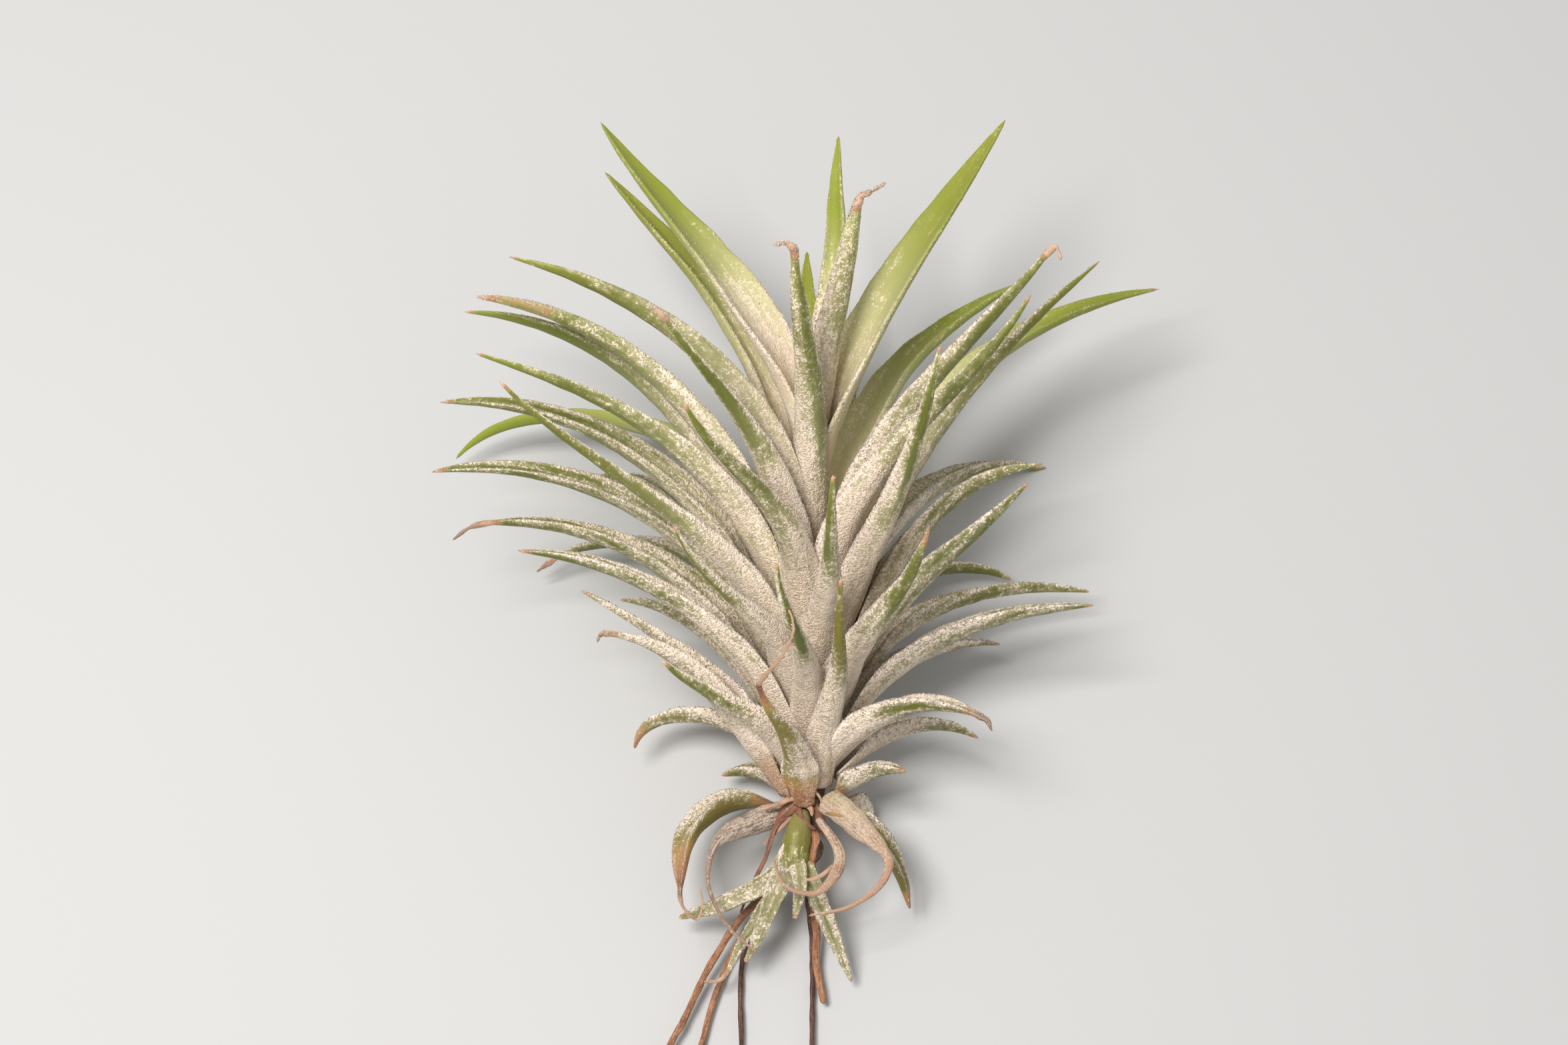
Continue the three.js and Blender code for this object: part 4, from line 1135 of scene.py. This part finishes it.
def ribbon(points, widths, side, thickness, seed, shift, turn_over=0.0):
    """A strip of leaf along the smooth curve through the points, its channel open towards side.

    Its width follows the widths, and its margins ripple. It turns over by turn_over degrees on its way.
    Returns its rings, and on them the place across, the distance, the width and the blade: millimetres
    across and along it, with the first moved to a place of its own by the shift.
    """
    rng = np.random.default_rng(seed)
    path = curve_through(points, RIBBON_STATIONS)
    distance = travelled(path)
    tangents = unit(np.gradient(path, axis=0))
    across = unit(np.cross(np.asarray(side, float), tangents))
    twist = math.radians(turn_over) * smooth(distance / distance[-1], 0.2, 1)
    twist = (twist + ripple(distance, 0.12, 7, rng))[:, None]
    across = across * np.cos(twist) + np.cross(tangents, across) * np.sin(twist)
    width = along(widths, RIBBON_STATIONS) * (1 + ripple(distance, 0.06, 3, rng))
    depth = thickness * np.clip(width, 0.6, 1.4) * (1 + ripple(distance, 0.12, 2.2, rng))
    end = closing(distance[-1] - distance, TIP_ROUNDING) * closing(distance, TIP_ROUNDING)
    bend = width / 2 / (OPEN_CHANNEL_ARC * (1 + ripple(distance, 0.25, 9, rng)))
    rings, s, side_of_ring = blade_rings(path, across, width / 2 * end, bend, depth * end)
    distance, width = (np.broadcast_to(row[:, None], s.shape) for row in (distance, width))
    blade = np.stack([s * width / 2 + shift, distance, 0.7 * np.sign(side_of_ring)], -1)
    return rings, s, distance, width, blade


def tube(points, radii, seed, wrinkle, sides, stations=RIBBON_STATIONS):
    """A round stalk along the smooth curve through the points, wrinkled and closed at both ends.

    The radius at a ring point is that of the radii there, raised by slow ripples along the way and by
    ridges, three and five to a turn, that wander round it. Returns the rings, and as their blade
    millimetres round and along it.
    """
    rng = np.random.default_rng(seed)
    path = curve_through(points, stations)
    distance = travelled(path)
    tangents = unit(np.gradient(path, axis=0))
    across = unit(np.cross(np.array([0.2, 0.0, 1.0]), tangents))
    up = np.cross(tangents, across)
    turn = np.arange(sides)[None] * 2 * np.pi / sides
    ridges = np.sin(3 * turn + ripple(distance, 2.5, 9, rng)[:, None])
    ridges = ridges + 0.6 * np.sin(5 * turn + ripple(distance, 3, 5, rng)[:, None])
    radius = along(radii, stations) * (1 + ripple(distance, 0.10, 3.5, rng))
    radius = radius * closing(distance[-1] - distance, STALK_ROUNDING) * closing(distance, STALK_ROUNDING)
    radius = radius[:, None] * (1 + wrinkle * ridges)
    outwards = across[:, None] * np.cos(turn)[..., None] + up[:, None] * np.sin(turn)[..., None]
    rings = path[:, None] + outwards * radius[..., None]
    way = np.broadcast_to(distance[:, None], radius.shape)
    return rings, np.stack([radius * np.cos(turn), way, radius * np.sin(turn)], -1)


def stalk(name, shape, material, slot, solid, seed, wrinkle, sides, stations=RIBBON_STATIONS, **values):
    """Makes a piece of a tube, whose shape is its radii and points."""
    radii, points = shape
    rings, blade = tube(points, radii, seed, wrinkle, sides, stations)
    skinned(name, rings, material, slot, solid, blade=blade, **values)


def upright(profile):
    """The radii and points of a stalk on the stem's axis, from heights and radii."""
    return [radius for _, radius in profile], [[0, height, 0] for height, _ in profile]


def make_pup():
    """The offset: a plump yellow-green base and five silvery leaves, in one surface."""
    surface = Surface()
    rings, blade = tube(PUP_STEM, PUP_STEM_RADII, seed=300, wrinkle=0.03, sides=28)
    height = np.broadcast_to(np.linspace(0, 1, len(rings))[:, None], rings.shape[:2])
    surface.add_rings(rings, {
        "cover": mix(0.12, 0.5, smooth(height, 0.45, 1)), "youth": 0.55,
        "pale": 0.08 * (1 - smooth(height, 0.2, 0.7)), "olive": 0.6, "dryness": 0, "blush": 0.2, "rim": 0,
        "blade": blade, "flake": 0,
    })
    for index, (widths, points) in enumerate(PUP_LEAVES):
        rings, s, distance, width, blade = ribbon(
            points, widths, (0, 0, 1), thickness=0.75, seed=310 + index, shift=900 + 40 * index)
        t = distance / distance[-1]
        dried = 6.5 if index == WITHERED_PUP_LEAF else 1.2
        values = {
            "cover": np.clip(0.34 + 0.2 * np.abs(s) ** 3 - 0.06 * smooth(t, 0.6, 1), 0, 1),
            "youth": mix(0.4, 0.05, smooth(t, 0, 0.4)), "pale": 0.1, "olive": 0.35, "rim": np.abs(s) ** 5,
            "dryness": smooth(distance, distance[-1] - dried, distance[-1] + 0.3), "blush": 0.7,
            "blade": blade,
        }
        weight = (0.4 + 2 * np.abs(s) ** 8) * (1 - 0.9 * values["dryness"]) * smooth(t, 0.05, 0.2) * width
        rng = np.random.default_rng(seed=330 + index)
        add_blade(surface, rings, values, weight, int(PUP_FLAKES * distance[-1, 0]), rng)
    piece("offset_pup", surface, SILVER_LEAF, "pup")


def make_dry_leaves():
    """The three dried leaves: papery where they are wide, browner where they have shrunk to threads."""
    for index, (name, (shade, widths, turn_over, points)) in enumerate(DRY_LEAVES.items()):
        rings, s, distance, _, blade = ribbon(
            points, widths, (0, 0, -1), thickness=0.4, seed=400 + index, shift=700 + 40 * index,
            turn_over=turn_over)
        t = distance / distance[-1]
        green = 0.8 * (1 - smooth(t, 0.0, 0.38)) * smooth(-s, -0.5, 0.8) * (name == GREEN_DRY_LEAF)
        skinned(
            name + "_curl", rings, PAPERS[shade], "dry_leaf", name,
            cover=0.30 + 0.35 * (1 - smooth(t, 0.25, 0.7)), dryness=0.9 * smooth(t, 0.3, 0.6), green=green,
            blade=blade)


def make_stem():
    """The woody stem among the leaf bases, its knobbly foot, and the growing point inside the heart."""
    stalk("stem_wood", upright(WOOD_PROFILE), WOOD, "stem", "stem", seed=500, wrinkle=0.05, sides=24,
          stations=WOOD_STATIONS, dryness=0)
    stalk("growing_point", upright(GROWING_POINT_PROFILE), SILVER_LEAF, "leaf", "heart_leaves", seed=501,
          wrinkle=0.02, sides=24, cover=0.6, youth=1, pale=1, olive=0, dryness=0, blush=0.2, rim=0, flake=0)


def make_roots():
    """The wiry roots, each its own piece, the knob that they spring from, and a blunt stub."""
    for index, (finish, radius, points) in enumerate(ROOTS):
        shape = [radius * share for share in ROOT_SHARES], points
        stalk(f"root_{index + 1}", shape, finish, "root", "roots", seed=600 + index, wrinkle=0.10, sides=14,
              stations=ROOT_STATIONS, dryness=0)
    stalk("root_crown", ROOT_KNOB, WOOD, "root", "roots", seed=610, wrinkle=0.09, sides=24, dryness=0)
    stalk("root_stub", ROOT_STUB, TAN_ROOT, "root", "roots", seed=611, wrinkle=0.06, sides=16, dryness=0)


def make_scraps():
    """Scraps of old leaf bases that cling round the foot."""
    for index, (name, (shade, widths, points)) in enumerate(FOOT_SCRAPS.items()):
        inwards = np.array(points).mean(0) * (-1, 0, -1)
        rings, *_, blade = ribbon(
            points, widths, inwards, thickness=0.3, seed=700 + index, shift=1300 + 40 * index, turn_over=15)
        skinned(name, rings, PAPERS[shade], "dry_leaf", "stem", cover=0.12, dryness=0.1, green=0,
                blade=blade)


make_pup()
make_dry_leaves()
make_stem()
make_roots()
make_scraps()


# The studio, in metres and watts
FLOOR_REACH = 3.0
FLOOR_COLOUR = (0.52, 0.535, 0.55, 1)
LIGHTS = {
    "key": {"energy": 4.5, "size": 0.22, "color": (1.0, 0.95, 0.90), "stand": (-0.2, -0.04, 0.62)},
    "fill": {"energy": 0.5, "size": 0.6, "color": (1.0, 0.97, 0.95), "stand": (0.6, -0.35, 0.45)},
}
LIT_POINT = (-3.3, 30, 5)  # in the plant's frame
SURROUND_COLOUR = (1.0, 0.97, 0.93, 1)
SURROUND_STRENGTH = 0.45


def make_floor():
    """A pale floor under the plant, as wide as any view needs."""
    corners = [(x * FLOOR_REACH, y * FLOOR_REACH, 0) for x, y in ((-1, -1), (1, -1), (1, 1), (-1, 1))]
    mesh = bpy.data.meshes.new("floor")
    mesh.from_pydata(corners, [], [(0, 1, 2, 3)])
    mesh.materials.append(new_material("pale_floor", Roughness=0.7, Base_Color=FLOOR_COLOUR)[0])
    add_object("floor", mesh)


def make_lights():
    """Soft studio light: a warm key left of the viewpoint, a weak fill from the right and a pale surround.

    The lights are square, and turned towards the middle of the plant.
    """
    for name, light in LIGHTS.items():
        data = bpy.data.lights.new(name, "AREA")
        for setting in ("energy", "size", "color"):
            setattr(data, setting, light[setting])
        made = add_object(name, data)
        made.location = light["stand"]
        beam = Vector(place(LIT_POINT) - light["stand"])
        made.rotation_euler = beam.to_track_quat("-Z", "Y").to_euler()
    world = bpy.data.worlds.new("surround")
    world.use_nodes = True
    background = world.node_tree.nodes["Background"]
    background.inputs["Color"].default_value = SURROUND_COLOUR
    background.inputs["Strength"].default_value = SURROUND_STRENGTH
    bpy.context.scene.world = world
    bpy.context.scene.view_settings.view_transform = "Standard"


def make_camera():
    """The photo's viewpoint: straight out of the plant's upper side, turned only by the lying tilt."""
    data = bpy.data.cameras.new("camera")
    data.lens = LENS
    data.sensor_width = SENSOR
    data.clip_start = 0.01
    data.clip_end = 10
    camera = add_object("camera", data)
    camera.location = place([*VIEW_CENTRE, VIEW_DISTANCE])
    camera.rotation_euler = (LYING_TILT, 0, 0)
    bpy.context.scene.camera = camera


make_floor()
make_lights()
make_camera()
